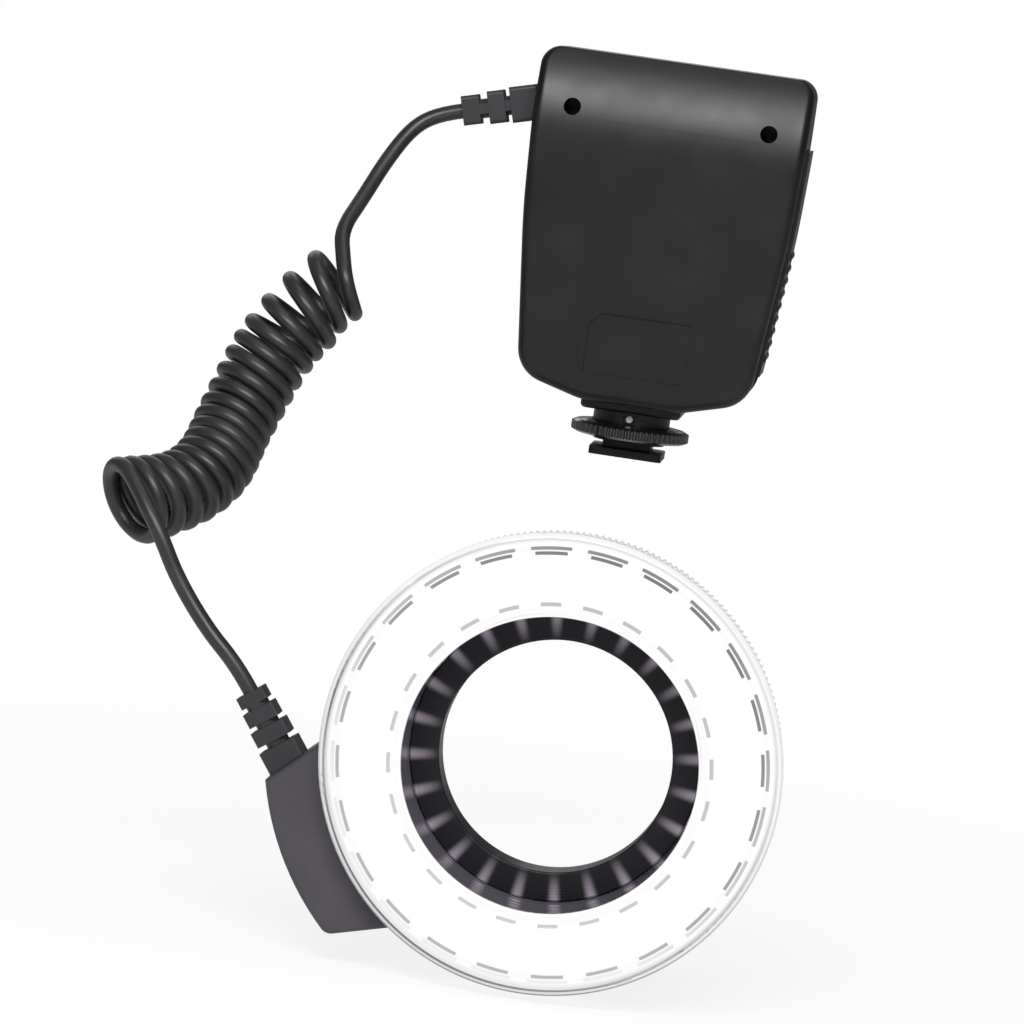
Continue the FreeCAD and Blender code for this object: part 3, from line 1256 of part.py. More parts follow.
def block_face(inset, y):
    """The cord block's outline from the front: flat top, round outside, rounded foot."""
    top_in, foot_in = block_start(*BLOCK_TOP_START), block_start(*BLOCK_FOOT_START)
    far = BLOCK_OUTER_RADIUS * 1.1
    top_out = ray_to_radius(top_in, BLOCK_TOP_LINE, far)
    foot_out = ray_to_radius(foot_in, BLOCK_FOOT_LINE, far)
    middle = (top_out + foot_out) * 0.5
    outermost = middle * (far * 1.2 / middle.Length)
    start, end = Vector(top_in[0], 0, top_in[1]), Vector(foot_in[0], 0, foot_in[1])
    polygon = Part.makePolygon([start, top_out, outermost, foot_out, end, start])
    solid = Part.Face(polygon).extrude(Vector(0, 10, 0))
    solid = solid.common(Part.makeCylinder(BLOCK_OUTER_RADIUS, 10, Vector(0, 0, 0), Vector(0, 1, 0)))
    corners = []
    for edge in solid.Edges:
        point = edge.Vertexes[0].Point
        away = math.hypot(point.x, point.z)
        if edge.BoundBox.YLength > 9 and away > BLOCK_OUTER_RADIUS - 1.5 and -point.z > -point.x * 0.7:
            corners.append(edge)
    solid = solid.makeFillet(BLOCK_CORNER, corners)
    face = [f for f in solid.Faces if f.BoundBox.YMax < 0.01][0]
    wire = face.OuterWire
    if inset:
        wire = wire.makeOffset2D(-inset)
    wire.translate(Vector(0, y, RING_Z))
    return Part.Face(wire)


def cord_block(inset, y0, y1):
    """The cord block's form between two depths."""
    return block_face(inset, y0).extrude(Vector(0, y1 - y0, 0))


def ring_housing():
    """The ring's body: outer and inner wall on a floor, with the hollow cord block."""
    inner_spigot = SPIGOT_RADIUS - SPIGOT_WALL
    wall_in = RING_BORE + COVER_INNER_SKIRT + FLAT_GAP
    floor = HOUSING_BACK - HOUSING_FLOOR
    ledge = HOUSING_BACK - HOUSING_LEDGE
    flange = SHOULDER_Y + RIM_FLANGE
    rim_end = flange + TRIM_GAP + RIM_DEPTH
    corners = [
        (RING_BORE, ledge, 0),
        (wall_in, ledge, 0),
        (wall_in, HOUSING_INNER_FRONT, 0),
        (wall_in + HOUSING_INNER_WALL, HOUSING_INNER_FRONT, 0),
        (wall_in + HOUSING_INNER_WALL, floor, 0),
        (inner_spigot, floor, 0),
        (inner_spigot, REFLECTOR_LIP_FRONT, 0),
        (SPIGOT_RADIUS, REFLECTOR_LIP_FRONT, 0),
        (SPIGOT_RADIUS, SHOULDER_Y, 0),
        (RING_RADIUS, SHOULDER_Y, 0.3),
        (RING_RADIUS, flange, 0),
        (RIM_SEAT_RADIUS, flange, 0),
        (RIM_SEAT_RADIUS, rim_end, 0),
        (BACK_RADIUS, rim_end, 0),
        (BACK_RADIUS, HOUSING_BACK, 0),
        (RING_BORE, HOUSING_BACK, 0),
    ]
    body = turned(corners)
    hollow = rod_y(inner_spigot + 0.5, RING_FRONT, HOUSING_BACK + 1, 0, RING_Z)
    skirt_room = rod_y(RING_RADIUS + FLAT_GAP, RING_FRONT, SHOULDER_Y, 0, RING_Z)
    block = cord_block(0, BLOCK_FRONT, HOUSING_BACK)
    front_edges = [
        e for e in block.Edges
        if e.BoundBox.YMax < BLOCK_FRONT + 0.01
        and math.hypot(e.CenterOfMass.x, e.CenterOfMass.z - RING_Z) > RING_RADIUS
    ]
    block = block.makeFillet(BLOCK_EDGE, front_edges).cut([hollow, skirt_room])
    pocket = cord_block(BLOCK_WALL, SHOULDER_Y + HOUSING_WALL, HOUSING_BACK + 1)
    pocket = pocket.cut(rod_y(RING_RADIUS, RING_FRONT, HOUSING_BACK + 2, 0, RING_Z))
    wire_low = RING_Z - WIRE_WAY_LOW
    wire_way = box(-RING_RADIUS - 1, -inner_spigot + 2, RELIEF_EXIT_Y - WIRE_WAY_FRONT,
                   RELIEF_EXIT_Y + WIRE_WAY_BACK, wire_low, wire_low + WIRE_WAY_HEIGHT)
    origin, direction = ring_relief_axis()
    mouth = Part.makeCylinder(RING_RELIEF_CORE + RUN_FIT, 12, origin - direction * 6, direction)
    screws = [
        Part.makeCylinder(REAR_SCREW_RADIUS + TRIM_GAP, HOUSING_FLOOR + 2,
                          on_ring(REAR_SCREW_CIRCLE, a, HOUSING_BACK - HOUSING_FLOOR - 1), Vector(0, 1, 0))
        for a in REAR_SCREW_ANGLES
    ]
    return fused([body, block]).cut([pocket, wire_way, mouth] + screws)


def latch_frame(side):
    """Rotation that turns a latch drawn on +X to its side of the ring."""
    return 0 if side > 0 else 180


def turn_on_ring(shape, degrees):
    """A copy turned about the ring head's axis."""
    copy = shape.copy()
    copy.rotate(Vector(0, 0, RING_Z), Vector(0, 1, 0), -degrees)
    return copy


def latch_pocket():
    """The pocket in the rear cover that a latch slides in, on +X."""
    half = LATCH_WIDTH / 2 + TRIM_GAP
    end = RING_BORE + LATCH_LENGTH + LATCH_TRAVEL + 1.6
    deep = HOUSING_BACK + FLAT_GAP + LATCH_THICKNESS + 0.3
    pocket = box(RING_BORE - 2, end, HOUSING_BACK - 1, deep, RING_Z - half, RING_Z + half)
    tab_half = LATCH_TAB_WIDTH / 2 + TRIM_GAP
    tab_in = RING_BORE + LATCH_LENGTH - LATCH_TAB_LENGTH - 2.0
    slot = box(tab_in - TRIM_GAP, tab_in + LATCH_TAB_LENGTH + LATCH_TRAVEL + TRIM_GAP,
               HOUSING_BACK, HOUSING_BACK + 9, RING_Z - tab_half, RING_Z + tab_half)
    return fused([pocket, slot])


def latch():
    """A latch on +X: a nose in the adapter's groove, a thumb tab behind the ring."""
    half = LATCH_WIDTH / 2
    front = HOUSING_BACK + FLAT_GAP + 0.1
    nose = RING_BORE - LATCH_ENGAGE
    plate = box(nose - 2, RING_BORE + LATCH_LENGTH, front, front + LATCH_THICKNESS, RING_Z - half, RING_Z + half)
    plate = plate.cut(rod_y(nose, front - 1, front + 3, 0, RING_Z))
    tab_in = RING_BORE + LATCH_LENGTH - LATCH_TAB_LENGTH - 2.0
    tab_half = LATCH_TAB_WIDTH / 2
    back = HOUSING_BACK + FLAT_GAP + REAR_THICKNESS + LATCH_TAB_STAND
    tab = box(tab_in, tab_in + LATCH_TAB_LENGTH, front, back, RING_Z - tab_half, RING_Z + tab_half)
    return fused([plate, tab])


def latch_springs_solid():
    """Two small springs behind a latch, drawn as their outer form."""
    start = RING_BORE + LATCH_LENGTH + 0.05
    end = RING_BORE + LATCH_LENGTH + LATCH_TRAVEL + 1.55
    y = HOUSING_BACK + FLAT_GAP + 0.1 + LATCH_THICKNESS / 2
    return [rod_x(LATCH_SPRING_RADIUS, start, end, y, RING_Z + d) for d in (-3.5, 3.5)]


def rear_cover():
    """The flat rear cover, with the lobe that closes the cord block."""
    y0 = HOUSING_BACK + FLAT_GAP
    y1 = y0 + REAR_THICKNESS
    plate = washer_y(BACK_RADIUS, RING_BORE, y0, y1)
    lobe = cord_block(0, y0, y1)
    lobe = lobe.makeFillet(1.0, [
        e for e in lobe.Edges
        if e.BoundBox.YMin > y1 - 0.01
        and math.hypot(e.CenterOfMass.x, e.CenterOfMass.z - RING_Z) > RING_RADIUS
    ])
    lobe = lobe.cut(rod_y(RING_BORE + 5, y0 - 1, y1 + 1, 0, RING_Z))
    body = fused([plate, lobe])
    cuts = [turn_on_ring(latch_pocket(), angle) for angle in (0, 180)]
    for angle in REAR_SCREW_ANGLES:
        cuts.append(Part.makeCylinder(REAR_SCREW_RADIUS + TRIM_GAP, 9, on_ring(REAR_SCREW_CIRCLE, angle, y0 - 1),
                                      Vector(0, 1, 0)))
        cuts.append(Part.makeCylinder(REAR_SCREW_HEAD + TRIM_GAP, 9, on_ring(REAR_SCREW_CIRCLE, angle, y1 - 1.2),
                                      Vector(0, 1, 0)))
    return body.cut(cuts)


def rear_screws():
    """Screws that hold the rear cover."""
    solids = []
    y1 = HOUSING_BACK + FLAT_GAP + REAR_THICKNESS - 1.2
    for angle in REAR_SCREW_ANGLES:
        head = Part.makeCylinder(REAR_SCREW_HEAD, 1.0, on_ring(REAR_SCREW_CIRCLE, angle, y1), Vector(0, 1, 0))
        shank = Part.makeCylinder(REAR_SCREW_RADIUS, REAR_SCREW_LENGTH,
                                  on_ring(REAR_SCREW_CIRCLE, angle, y1 - REAR_SCREW_LENGTH), Vector(0, 1, 0))
        solids.append(fused([head, shank]))
    return solids


def grip_rim():
    """The serrated rim behind the cover, open where the cord block stands."""
    tip = RING_RADIUS + RIM_STAND
    points = []
    y0 = SHOULDER_Y + RIM_FLANGE + TRIM_GAP
    y1 = y0 + RIM_DEPTH
    for i in range(RIM_TOOTH_COUNT):
        points.append(on_ring(tip - RIM_TOOTH, 360.0 * i / RIM_TOOTH_COUNT, y0))
        points.append(on_ring(tip, 360.0 * (i + 0.5) / RIM_TOOTH_COUNT, y0))
    rim = Part.Face(Part.makePolygon(points + [points[0]])).extrude(Vector(0, y1 - y0, 0))
    rim = rim.cut(rod_y(RIM_SEAT_RADIUS + TRIM_GAP, y0 - 1, y1 + 1, 0, RING_Z))
    return rim.cut(cord_block(-FLAT_GAP, y0 - 1, y1 + 1))


def led_spots(radius):
    """Angles of one row of lamps."""
    shift = 0.0 if radius > (LED_OUTER_ROW + LED_INNER_ROW) / 2 else 0.5
    return [360.0 * (i + shift) / LEDS_PER_ROW for i in range(LEDS_PER_ROW)]


def led_board_front():
    """Y of the lamp board's front face."""
    return HOUSING_BACK - HOUSING_FLOOR - FLAT_GAP - LED_BOARD_THICKNESS


def led_board():
    """The ring-shaped lamp board."""
    front = led_board_front()
    return washer_y(TROUGH_OUTER, TROUGH_INNER, front, front + LED_BOARD_THICKNESS)


def led_row(radius):
    """One row of round lamps with domed tops."""
    solids = []
    y1 = led_board_front()
    dome_y = y1 - LED_HEIGHT + LED_RADIUS
    for angle in led_spots(radius):
        point = on_ring(radius, angle, dome_y)
        body = rod_y(LED_RADIUS, dome_y, y1, point.x, point.z)
        flange = rod_y(LED_RADIUS + LED_FLANGE, y1 - 1.0, y1, point.x, point.z)
        dome = Part.makeSphere(LED_RADIUS, point)
        solids.append(fused([body, flange, dome]))
    return solids


def reflector():
    """The white trough in front of the board, with a hole for each lamp."""
    inner, outer = TROUGH_INNER, TROUGH_OUTER
    floor_y = REFLECTOR_FLOOR_Y
    corners = [
        (inner, REFLECTOR_LIP_FRONT, 0),
        (inner + REFLECTOR_LIP, REFLECTOR_LIP_FRONT, 0),
        (inner + REFLECTOR_LIP, floor_y - REFLECTOR_FLOOR, 0.5),
        (outer - REFLECTOR_LIP, floor_y - REFLECTOR_FLOOR, 0.5),
        (outer - REFLECTOR_LIP, REFLECTOR_LIP_FRONT, 0),
        (outer, REFLECTOR_LIP_FRONT, 0),
        (outer, floor_y, 0),
        (inner, floor_y, 0),
    ]
    body = turned(corners)
    holes = []
    for radius in (LED_OUTER_ROW, LED_INNER_ROW):
        for angle in led_spots(radius):
            start = on_ring(radius, angle, floor_y - REFLECTOR_FLOOR - 1)
            holes.append(Part.makeCylinder(LED_RADIUS + REFLECTOR_HOLE_GAP, REFLECTOR_FLOOR + 2,
                                           start, Vector(0, 1, 0)))
    posts = []
    for quarter in range(4):
        angle = 360.0 * 1.75 / LEDS_PER_ROW + 90.0 * quarter
        start = on_ring((LED_OUTER_ROW + LED_INNER_ROW) / 2, angle, floor_y - 0.5)
        length = led_board_front() - floor_y + 0.5
        posts.append(Part.makeCylinder(REFLECTOR_POST_RADIUS, length, start, Vector(0, 1, 0)))
    return fused([body.cut(holes)] + posts)


def adapter_ring():
    """The screw-in adapter: a grooved ring in the head's bore and a threaded neck behind it."""
    outer = RING_BORE - RUN_FIT
    groove0 = HOUSING_BACK + FLAT_GAP - 0.3
    groove1 = HOUSING_BACK + FLAT_GAP + 0.1 + LATCH_THICKNESS + 0.4
    corners = [
        (ADAPTER_BORE, ADAPTER_FRONT, 0.5),
        (outer, ADAPTER_FRONT, 0.5),
        (outer, groove0, 0),
        (outer - ADAPTER_GROOVE, groove0, 0),
        (outer - ADAPTER_GROOVE, groove1, 0),
        (outer, groove1, 0),
        (outer, ADAPTER_BACK, 0.4),
        (THREAD_RADIUS, ADAPTER_BACK, 0),
        (THREAD_RADIUS, ADAPTER_BACK + THREAD_LENGTH, 0),
        (ADAPTER_BORE, ADAPTER_BACK + THREAD_LENGTH, 0),
    ]
    return turned(corners)


# Assembly

def build():
    """Make every node."""
    shell = unit_shell()
    keep("front_shell", front_shell(shell))
    keep("rear_shell", rear_shell(shell))
    keep("shell_screws", *shell_screws())
    keep("battery_tray", battery_tray())
    keep("battery_cells", *cell_solids())
    keep("cell_springs", *cell_springs())
    plate_x = CELL_LEFT_X - SPRING_LENGTH - CONTACT_THICKNESS
    keep("cell_contact_strips", *contact_strips(plate_x, plate_x + CONTACT_THICKNESS, CONTACT_HALF_WIDTH))
    keep("battery_door", battery_door())
    keep("door_contacts", *door_contacts())
    keep("door_pin", door_pin())
    keep("main_board", main_board())
    keep("button_board", button_board())
    keep("display_module", display_module())
    keep("display_window", display_window())
    for name, x in button_places().items():
        keep(name, oblong_button(x))
    keep("test_button", test_button())
    keep("power_slider", power_slider())
    keep("foot_base", foot_base())
    keep("index_peg", index_peg())
    keep("foot_plate", foot_plate())
    keep("foot_screws", *foot_screws())
    keep("contact_pins", *contact_pins())
    keep("contact_springs", *contact_springs())
    keep("contact_carrier", contact_carrier())
    keep("clamp_washer", clamp_washer())
    keep("lock_wheel", lock_wheel())
    keep("unit_strain_relief", unit_relief())
    cord_nodes()
    keep("ring_strain_relief", ring_relief())
    keep("ring_housing", ring_housing())
    keep("front_cover", front_cover())
    keep("rear_cover", rear_cover())
    keep("rear_screws", *rear_screws())
    keep("grip_rim", grip_rim())
    keep("led_board", led_board())
    keep("outer_leds", *led_row(LED_OUTER_ROW))
    keep("inner_leds", *led_row(LED_INNER_ROW))
    keep("reflector", reflector())
    keep("adapter_ring", adapter_ring())
    for name, angle in (("right_latch", 0), ("left_latch", 180)):
        keep(name, turn_on_ring(latch(), angle))
        keep(name + "_springs", *[turn_on_ring(s, angle) for s in latch_springs_solid()])


def main():
    """Build every node and write its file."""
    build()
    os.makedirs("parts", exist_ok=True)
    for name, shape in NODES.items():
        shape.exportStep("parts/" + name + ".step")
        print(name, "solids", len(shape.Solids), "valid", shape.isValid(), "volume", round(shape.Volume, 1))


main()
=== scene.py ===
"""Dresses the ring flash: finishes, curly cord, lit front, small springs and its studio."""

import logging
import math
from collections.abc import Iterable, Mapping
from dataclasses import dataclass
from enum import Enum
from typing import NamedTuple

import bmesh
import bpy
from mathutils import Matrix, Vector


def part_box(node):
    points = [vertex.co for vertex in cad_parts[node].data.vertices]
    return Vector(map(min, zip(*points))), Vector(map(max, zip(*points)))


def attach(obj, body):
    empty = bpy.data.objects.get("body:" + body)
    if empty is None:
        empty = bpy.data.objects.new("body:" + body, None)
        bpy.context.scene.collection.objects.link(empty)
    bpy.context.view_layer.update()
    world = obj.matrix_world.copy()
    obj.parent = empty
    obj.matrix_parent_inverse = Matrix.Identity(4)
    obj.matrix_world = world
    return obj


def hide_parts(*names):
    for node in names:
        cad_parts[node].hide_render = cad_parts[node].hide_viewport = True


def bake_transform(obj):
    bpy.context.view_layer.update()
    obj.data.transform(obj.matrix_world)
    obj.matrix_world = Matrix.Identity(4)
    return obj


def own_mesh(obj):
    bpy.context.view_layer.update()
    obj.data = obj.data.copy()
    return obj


Node = bpy.types.Node
Socket = bpy.types.NodeSocket
Tree = bpy.types.NodeTree
Point = tuple[float, float, float]
Colour = tuple[float, float, float, float]

LOG = logging.getLogger("ring_flash")
MM = 0.001
# height of the ring head's axis, in millimetres
HEAD_AXIS_Z = -65.0
# sockets of a Mix node that mixes colours
MIX_SHARE, MIX_FIRST, MIX_SECOND, MIX_RESULT = 0, 6, 7, 2
WHITE: Colour = (1.0, 1.0, 1.0, 1.0)

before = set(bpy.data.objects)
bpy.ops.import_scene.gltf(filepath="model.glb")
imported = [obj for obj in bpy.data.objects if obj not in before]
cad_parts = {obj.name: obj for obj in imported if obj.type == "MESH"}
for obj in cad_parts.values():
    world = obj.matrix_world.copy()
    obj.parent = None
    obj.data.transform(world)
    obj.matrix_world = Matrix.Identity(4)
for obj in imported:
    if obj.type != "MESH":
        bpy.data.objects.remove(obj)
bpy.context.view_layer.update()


# Shared helpers


def linear(code: str) -> Colour:
    """Turn an sRGB hex colour into linear values.

    Args:
        code: Six hex digits, with or without a leading hash.

    Returns:
        Red, green, blue and an alpha of 1.
    """
    digits = code.lstrip("#")
    channels = [int(digits[i : i + 2], 16) / 255 for i in (0, 2, 4)]
    values = [c / 12.92 if c <= 0.04045 else ((c + 0.055) / 1.055) ** 2.4 for c in channels]
    return (values[0], values[1], values[2], 1.0)


def add_node(
    tree: Tree,
    kind: str,
    inputs: Mapping[str | int, object] | None = None,
    **settings: object,
) -> Node:
    """Add a node with its settings and links.

    Args:
        tree: The node tree it goes into.
        kind: The node's type name.
        inputs: Input name or number to a value, or to the socket that feeds it.
        settings: The node's own properties.

    Returns:
        The new node.
    """
    node = tree.nodes.new(kind)
    for name, value in settings.items():
        setattr(node, name, value)
    for key, value in (inputs or {}).items():
        if isinstance(value, Socket):
            tree.links.new(value, node.inputs[key])
        else:
            node.inputs[key].default_value = value
    return node


def maths(tree: Tree, operation: str, *values: float | Socket) -> Socket:
    """Add a Math node.

    Args:
        tree: The node tree it goes into.
        operation: What it does, such as MULTIPLY.
        values: What it works on, in order.

    Returns:
        Its result.
    """
    inputs = dict(enumerate(values))
    return add_node(tree, "ShaderNodeMath", inputs, operation=operation).outputs[0]


def remap(
    tree: Tree,
    value: Socket,
    result: tuple[float, float],
    source: tuple[float, float] = (0.0, 1.0),
    **settings: object,
) -> Socket:
    """Move a value from one range to another, held at its ends.

    Args:
        tree: The node tree it goes into.
        value: The value.
        result: What the ends of the source range become.
        source: The range that the value comes in.
        settings: The node's own properties.

    Returns:
        The new value.
    """
    inputs = {
        "Value": value,
        "From Min": source[0],
        "From Max": source[1],
        "To Min": result[0],
        "To Max": result[1],
    }
    return add_node(tree, "ShaderNodeMapRange", inputs, **settings).outputs["Result"]


def mix_colours(
    tree: Tree, share: Socket, first: Colour | Socket, second: Colour | Socket
) -> Socket:
    """Mix two colours.

    Args:
        tree: The node tree it goes into.
        share: How much of the second there is, from 0 to 1.
        first: The first colour.
        second: The second colour.

    Returns:
        The mixed colour.
    """
    inputs = {MIX_SHARE: share, MIX_FIRST: first, MIX_SECOND: second}
    return add_node(tree, "ShaderNodeMix", inputs, data_type="RGBA").outputs[MIX_RESULT]


def mix_shaders(tree: Tree, share: Socket, first: Socket, second: Socket) -> Socket:
    """Mix two shaders.

    Args:
        tree: The node tree it goes into.
        share: How much of the second there is, from 0 to 1.
        first: The first shader.
        second: The second shader.

    Returns:
        The mixed shader.
    """
    return add_node(tree, "ShaderNodeMixShader", {0: share, 1: first, 2: second}).outputs[0]


def object_coords(tree: Tree) -> Socket:
    """The object's own coordinates, in metres."""
    return add_node(tree, "ShaderNodeTexCoord").outputs["Object"]


def noise(tree: Tree, coords: Socket, size_mm: float, detail: float) -> Socket:
    """Add a noise pattern.

    Args:
        tree: The node tree it goes into.
        coords: The coordinates it follows.
        size_mm: About how large its patches are, in millimetres.
        detail: How many finer layers it has.

    Returns:
        A value from 0 to 1.
    """
    inputs = {"Vector": coords, "Scale": 1 / (size_mm * MM), "Detail": detail}
    return add_node(tree, "ShaderNodeTexNoise", inputs).outputs["Fac"]


def bump(tree: Tree, height: Socket, strength: float, depth_mm: float) -> Socket:
    """Add fine relief to a surface.

    Args:
        tree: The node tree it goes into.
        height: The relief's pattern.
        strength: How strongly it shows, from 0 to 1.
        depth_mm: Its depth, in millimetres.

    Returns:
        The normal for a shader.
    """
    inputs = {"Height": height, "Strength": strength, "Distance": depth_mm * MM}
    return add_node(tree, "ShaderNodeBump", inputs).outputs["Normal"]


def principled(tree: Tree, inputs: Mapping[str, object]) -> Socket:
    """Add a Principled shader with these inputs."""
    return add_node(tree, "ShaderNodeBsdfPrincipled", inputs).outputs[0]


def link_object(name: str, data: bpy.types.ID) -> bpy.types.Object:
    """Put new data in the scene as an object at the origin.

    Args:
        name: The object's name.
        data: Its mesh, curve, camera or lamp.

    Returns:
        The new object.
    """
    made = bpy.data.objects.new(name, data)
    bpy.context.scene.collection.objects.link(made)
    return made


def mesh_piece(name: str, shape: bmesh.types.BMesh, smooth: bool = True) -> bpy.types.Object:
    """Turn a bmesh into an object at the origin.

    Args:
        name: The object's name.
        shape: The bmesh, which is freed.
        smooth: Whether its faces are shaded smooth.

    Returns:
        The new object.
    """
    bmesh.ops.recalc_face_normals(shape, faces=shape.faces)
    mesh = bpy.data.meshes.new(name)
    shape.to_mesh(mesh)
    shape.free()
    for polygon in mesh.polygons:
        polygon.use_smooth = smooth
    return link_object(name, mesh)


def dress(piece: bpy.types.Object, material: bpy.types.Material) -> None:
    """Give a piece one material in its first slot and drop the others."""
    piece.data.materials.clear()
    piece.data.materials.append(material)


def dress_nodes(names: Iterable[str], material: bpy.types.Material) -> None:
    """Give several CAD nodes the same material.

    Args:
        names: Names of the nodes.
        material: The material they get.
    """
    for name in names:
        dress(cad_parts[name], material)
        LOG.info("%s: %s", name, material.name)


# Finishes


@dataclass(frozen=True)
class Surface:
    """A surface with its own material."""

    name: str

    def shade(self, tree: Tree) -> Socket:
        """Add the surface's own nodes.

        Args:
            tree: The node tree that they go into.

        Returns:
            The shader that the material shows.
        """
        raise NotImplementedError

    def make(self) -> bpy.types.Material:
        """Build the material."""
        material = bpy.data.materials.new(self.name)
        material.use_nodes = True
        tree = material.node_tree
        tree.nodes.clear()
        add_node(tree, "ShaderNodeOutputMaterial", {"Surface": self.shade(tree)})
        return material


@dataclass(frozen=True)
class MouldedPlastic(Surface):
    """A thermoplastic moulding with a fine texture from its mould."""

    colour: str
    worn: str
    roughness: float
    grain_mm: float = 0.35
    grain: float = 0.12
    gloss: float = 0.5
    grain_depth_mm: float = 0.08
    cloud_mm: float = 14.0

    def shade(self, tree: Tree) -> Socket:
        """Fine grain, with broad clouds in its colour and shine."""
        coords = object_coords(tree)
        clouds = noise(tree, coords, self.cloud_mm, 3.0)
        tint = add_node(tree, "ShaderNodeValToRGB", {"Fac": clouds})
        ends = ((0.3, self.colour), (0.75, self.worn))
        for element, (position, code) in zip(tint.color_ramp.elements, ends):
            element.position = position
            element.color = linear(code)
        dullness = (self.roughness - 0.04, self.roughness + 0.05)
        grain = noise(tree, coords, self.grain_mm, 2.0)
        return principled(
            tree,
            {
                "Base Color": tint.outputs["Color"],
                "Roughness": remap(tree, clouds, dullness, (0.3, 0.7)),
                "Normal": bump(tree, grain, self.grain, self.grain_depth_mm),
                "IOR": 1.5,
                "Specular IOR Level": self.gloss,
            },
        )


@dataclass(frozen=True)
class BareMetal(Surface):
    """A metal with fine marks from how it was worked."""

    colour: str
    roughness: float
    mark_mm: float = 0.4
    mark_depth_mm: float = 0.02
    stretch: Point = (1.0, 1.0, 1.0)

    def shade(self, tree: Tree) -> Socket:
        """Metal whose marks show in its shine and relief."""
        inputs = {"Vector": object_coords(tree), "Scale": self.stretch}
        stretched = add_node(tree, "ShaderNodeMapping", inputs).outputs["Vector"]
        marks = noise(tree, stretched, self.mark_mm, 3.0)
        dullness = (self.roughness - 0.06, self.roughness + 0.1)
        return principled(
            tree,
            {
                "Base Color": linear(self.colour),
                "Metallic": 1.0,
                "Roughness": remap(tree, marks, dullness),
                "Normal": bump(tree, marks, 0.15, self.mark_depth_mm),
            },
        )


@dataclass(frozen=True)
class ClearPlastic(Surface):
    """Clear moulded plastic, polished on both sides."""

    colour: str
    roughness: float
    index: float
    haze_mm: float = 9.0

    def shade(self, tree: Tree) -> Socket:
        """Clear plastic with a trace of haze."""
        haze = noise(tree, object_coords(tree), self.haze_mm, 2.0)
        dullness = (self.roughness * 0.5, self.roughness * 1.6)
        return principled(
            tree,
            {
                "Base Color": linear(self.colour),
                "Roughness": remap(tree, haze, dullness),
                "IOR": self.index,
                "Transmission Weight": 1.0,
            },
        )


class Polar(NamedTuple):
    """Radius in millimetres, turn from 0 to 1 for each lamp, and angle in radians."""

    radius: Socket
    turn: Socket
    angle: Socket


@dataclass(frozen=True)
class LampRows:
    """How the lamps stand round the head's axis, for patterns that follow them."""

    axis_z: float = HEAD_AXIS_Z
    count: int = 24

    def polar(self, tree: Tree) -> Polar:
        """Where a point lies round the head's axis.

        Args:
            tree: The node tree that reads it.

        Returns:
            Its radius, turn and angle.
        """
        inputs = {
            "Vector": object_coords(tree),
            "Location": (0.0, 0.0, -self.axis_z),
            "Scale": (1 / MM, 1 / MM, 1 / MM),
        }
        moved = add_node(tree, "ShaderNodeMapping", inputs).outputs["Vector"]
        parts = add_node(tree, "ShaderNodeSeparateXYZ", {"Vector": moved}).outputs
        x, z = parts["X"], parts["Z"]
        flat = add_node(tree, "ShaderNodeCombineXYZ", {"X": x, "Y": 0.0, "Z": z}).outputs[0]
        radius = add_node(tree, "ShaderNodeVectorMath", {0: flat}, operation="LENGTH")
        angle = maths(tree, "ARCTAN2", z, x)
        share = maths(tree, "MULTIPLY", angle, self.count / (2 * math.pi))
        return Polar(radius.outputs["Value"], maths(tree, "FRACT", share), angle)


@dataclass(frozen=True)
class PaintedShadeRing:
    """A ring of painted shade on the lit front, broken at the lamps or whole, strongest at one
    angle.
    """

    radius: float
    width: float
    strong_at: float
    strong: float
    weak: float
    broken: bool = True
    half_turn: float = 0.29

    def add_to(self, tree: Tree, polar: Polar) -> Socket:
        """Add the nodes of the mark.

        Args:
            tree: The node tree that they go into.
            polar: Where a point lies, from LampRows.

        Returns:
            How strong the painted shade is, from 0 to 1.
        """
        band = maths(tree, "COMPARE", polar.radius, self.radius, self.width / 2)
        away = maths(tree, "SUBTRACT", polar.angle, math.radians(self.strong_at))
        lean = maths(tree, "COSINE", away)
        level = remap(tree, lean, (self.weak, self.strong), (-0.6, 1.0))
        mark = maths(tree, "MULTIPLY", band, level)
        if not self.broken:
            return mark
        dash = maths(tree, "COMPARE", polar.turn, 0.5, self.half_turn)
        return maths(tree, "MULTIPLY", mark, dash)


@dataclass(frozen=True)
class LitCover(Surface):
    """Clear acrylic full of the lamps' light, clearer at its lip, with rings of painted shade on
    it.
    """

    # rings of painted shade, where less of the lamps' light falls
    marks: tuple[PaintedShadeRing, ...]
    rows: LampRows = LampRows()
    painted_shade: str = "3f3d44"
    glow: float = 1.0
    face_share: float = 0.84
    lip_share: float = 0.3
    lip_radius: float = 53.2
    lip_fade: float = 0.5
    bore_radius: float = 35.2
    bore_fade: tuple[float, float] = (0.06, 0.25)
    bore_painted_shade: str = "1d1b21"
    index: float = 1.49

    def shade(self, tree: Tree) -> Socket:
        """Light over clear plastic, shared out by how far a point is from the axis."""
        polar = self.rows.polar(tree)
        painted_shade = self.marks[0].add_to(tree, polar)
        for mark in self.marks[1:]:
            painted_shade = maths(tree, "MAXIMUM", painted_shade, mark.add_to(tree, polar))
        colour = mix_colours(tree, painted_shade, linear("ffffff"), linear(self.painted_shade))
        lit = add_node(tree, "ShaderNodeEmission", {"Color": colour, "Strength": self.glow})
        # near the bore the glow stops and the clear plastic takes a dark painted shade
        start, end = (self.bore_radius + fade for fade in self.bore_fade)
        past_wall = remap(tree, polar.radius, (0.0, 1.0), (start, end))
        tint = mix_colours(tree, past_wall, linear(self.bore_painted_shade), colour)
        clear = principled(
            tree,
            {
                "Base Color": tint,
                "Roughness": 0.04,
                "IOR": self.index,
                "Transmission Weight": 1.0,
            },
        )
        lip = (self.lip_radius - self.lip_fade, self.lip_radius + self.lip_fade)
        share = remap(tree, polar.radius, (self.face_share, self.lip_share), lip)
        return mix_shaders(tree, maths(tree, "MULTIPLY", share, past_wall), clear, lit.outputs[0])


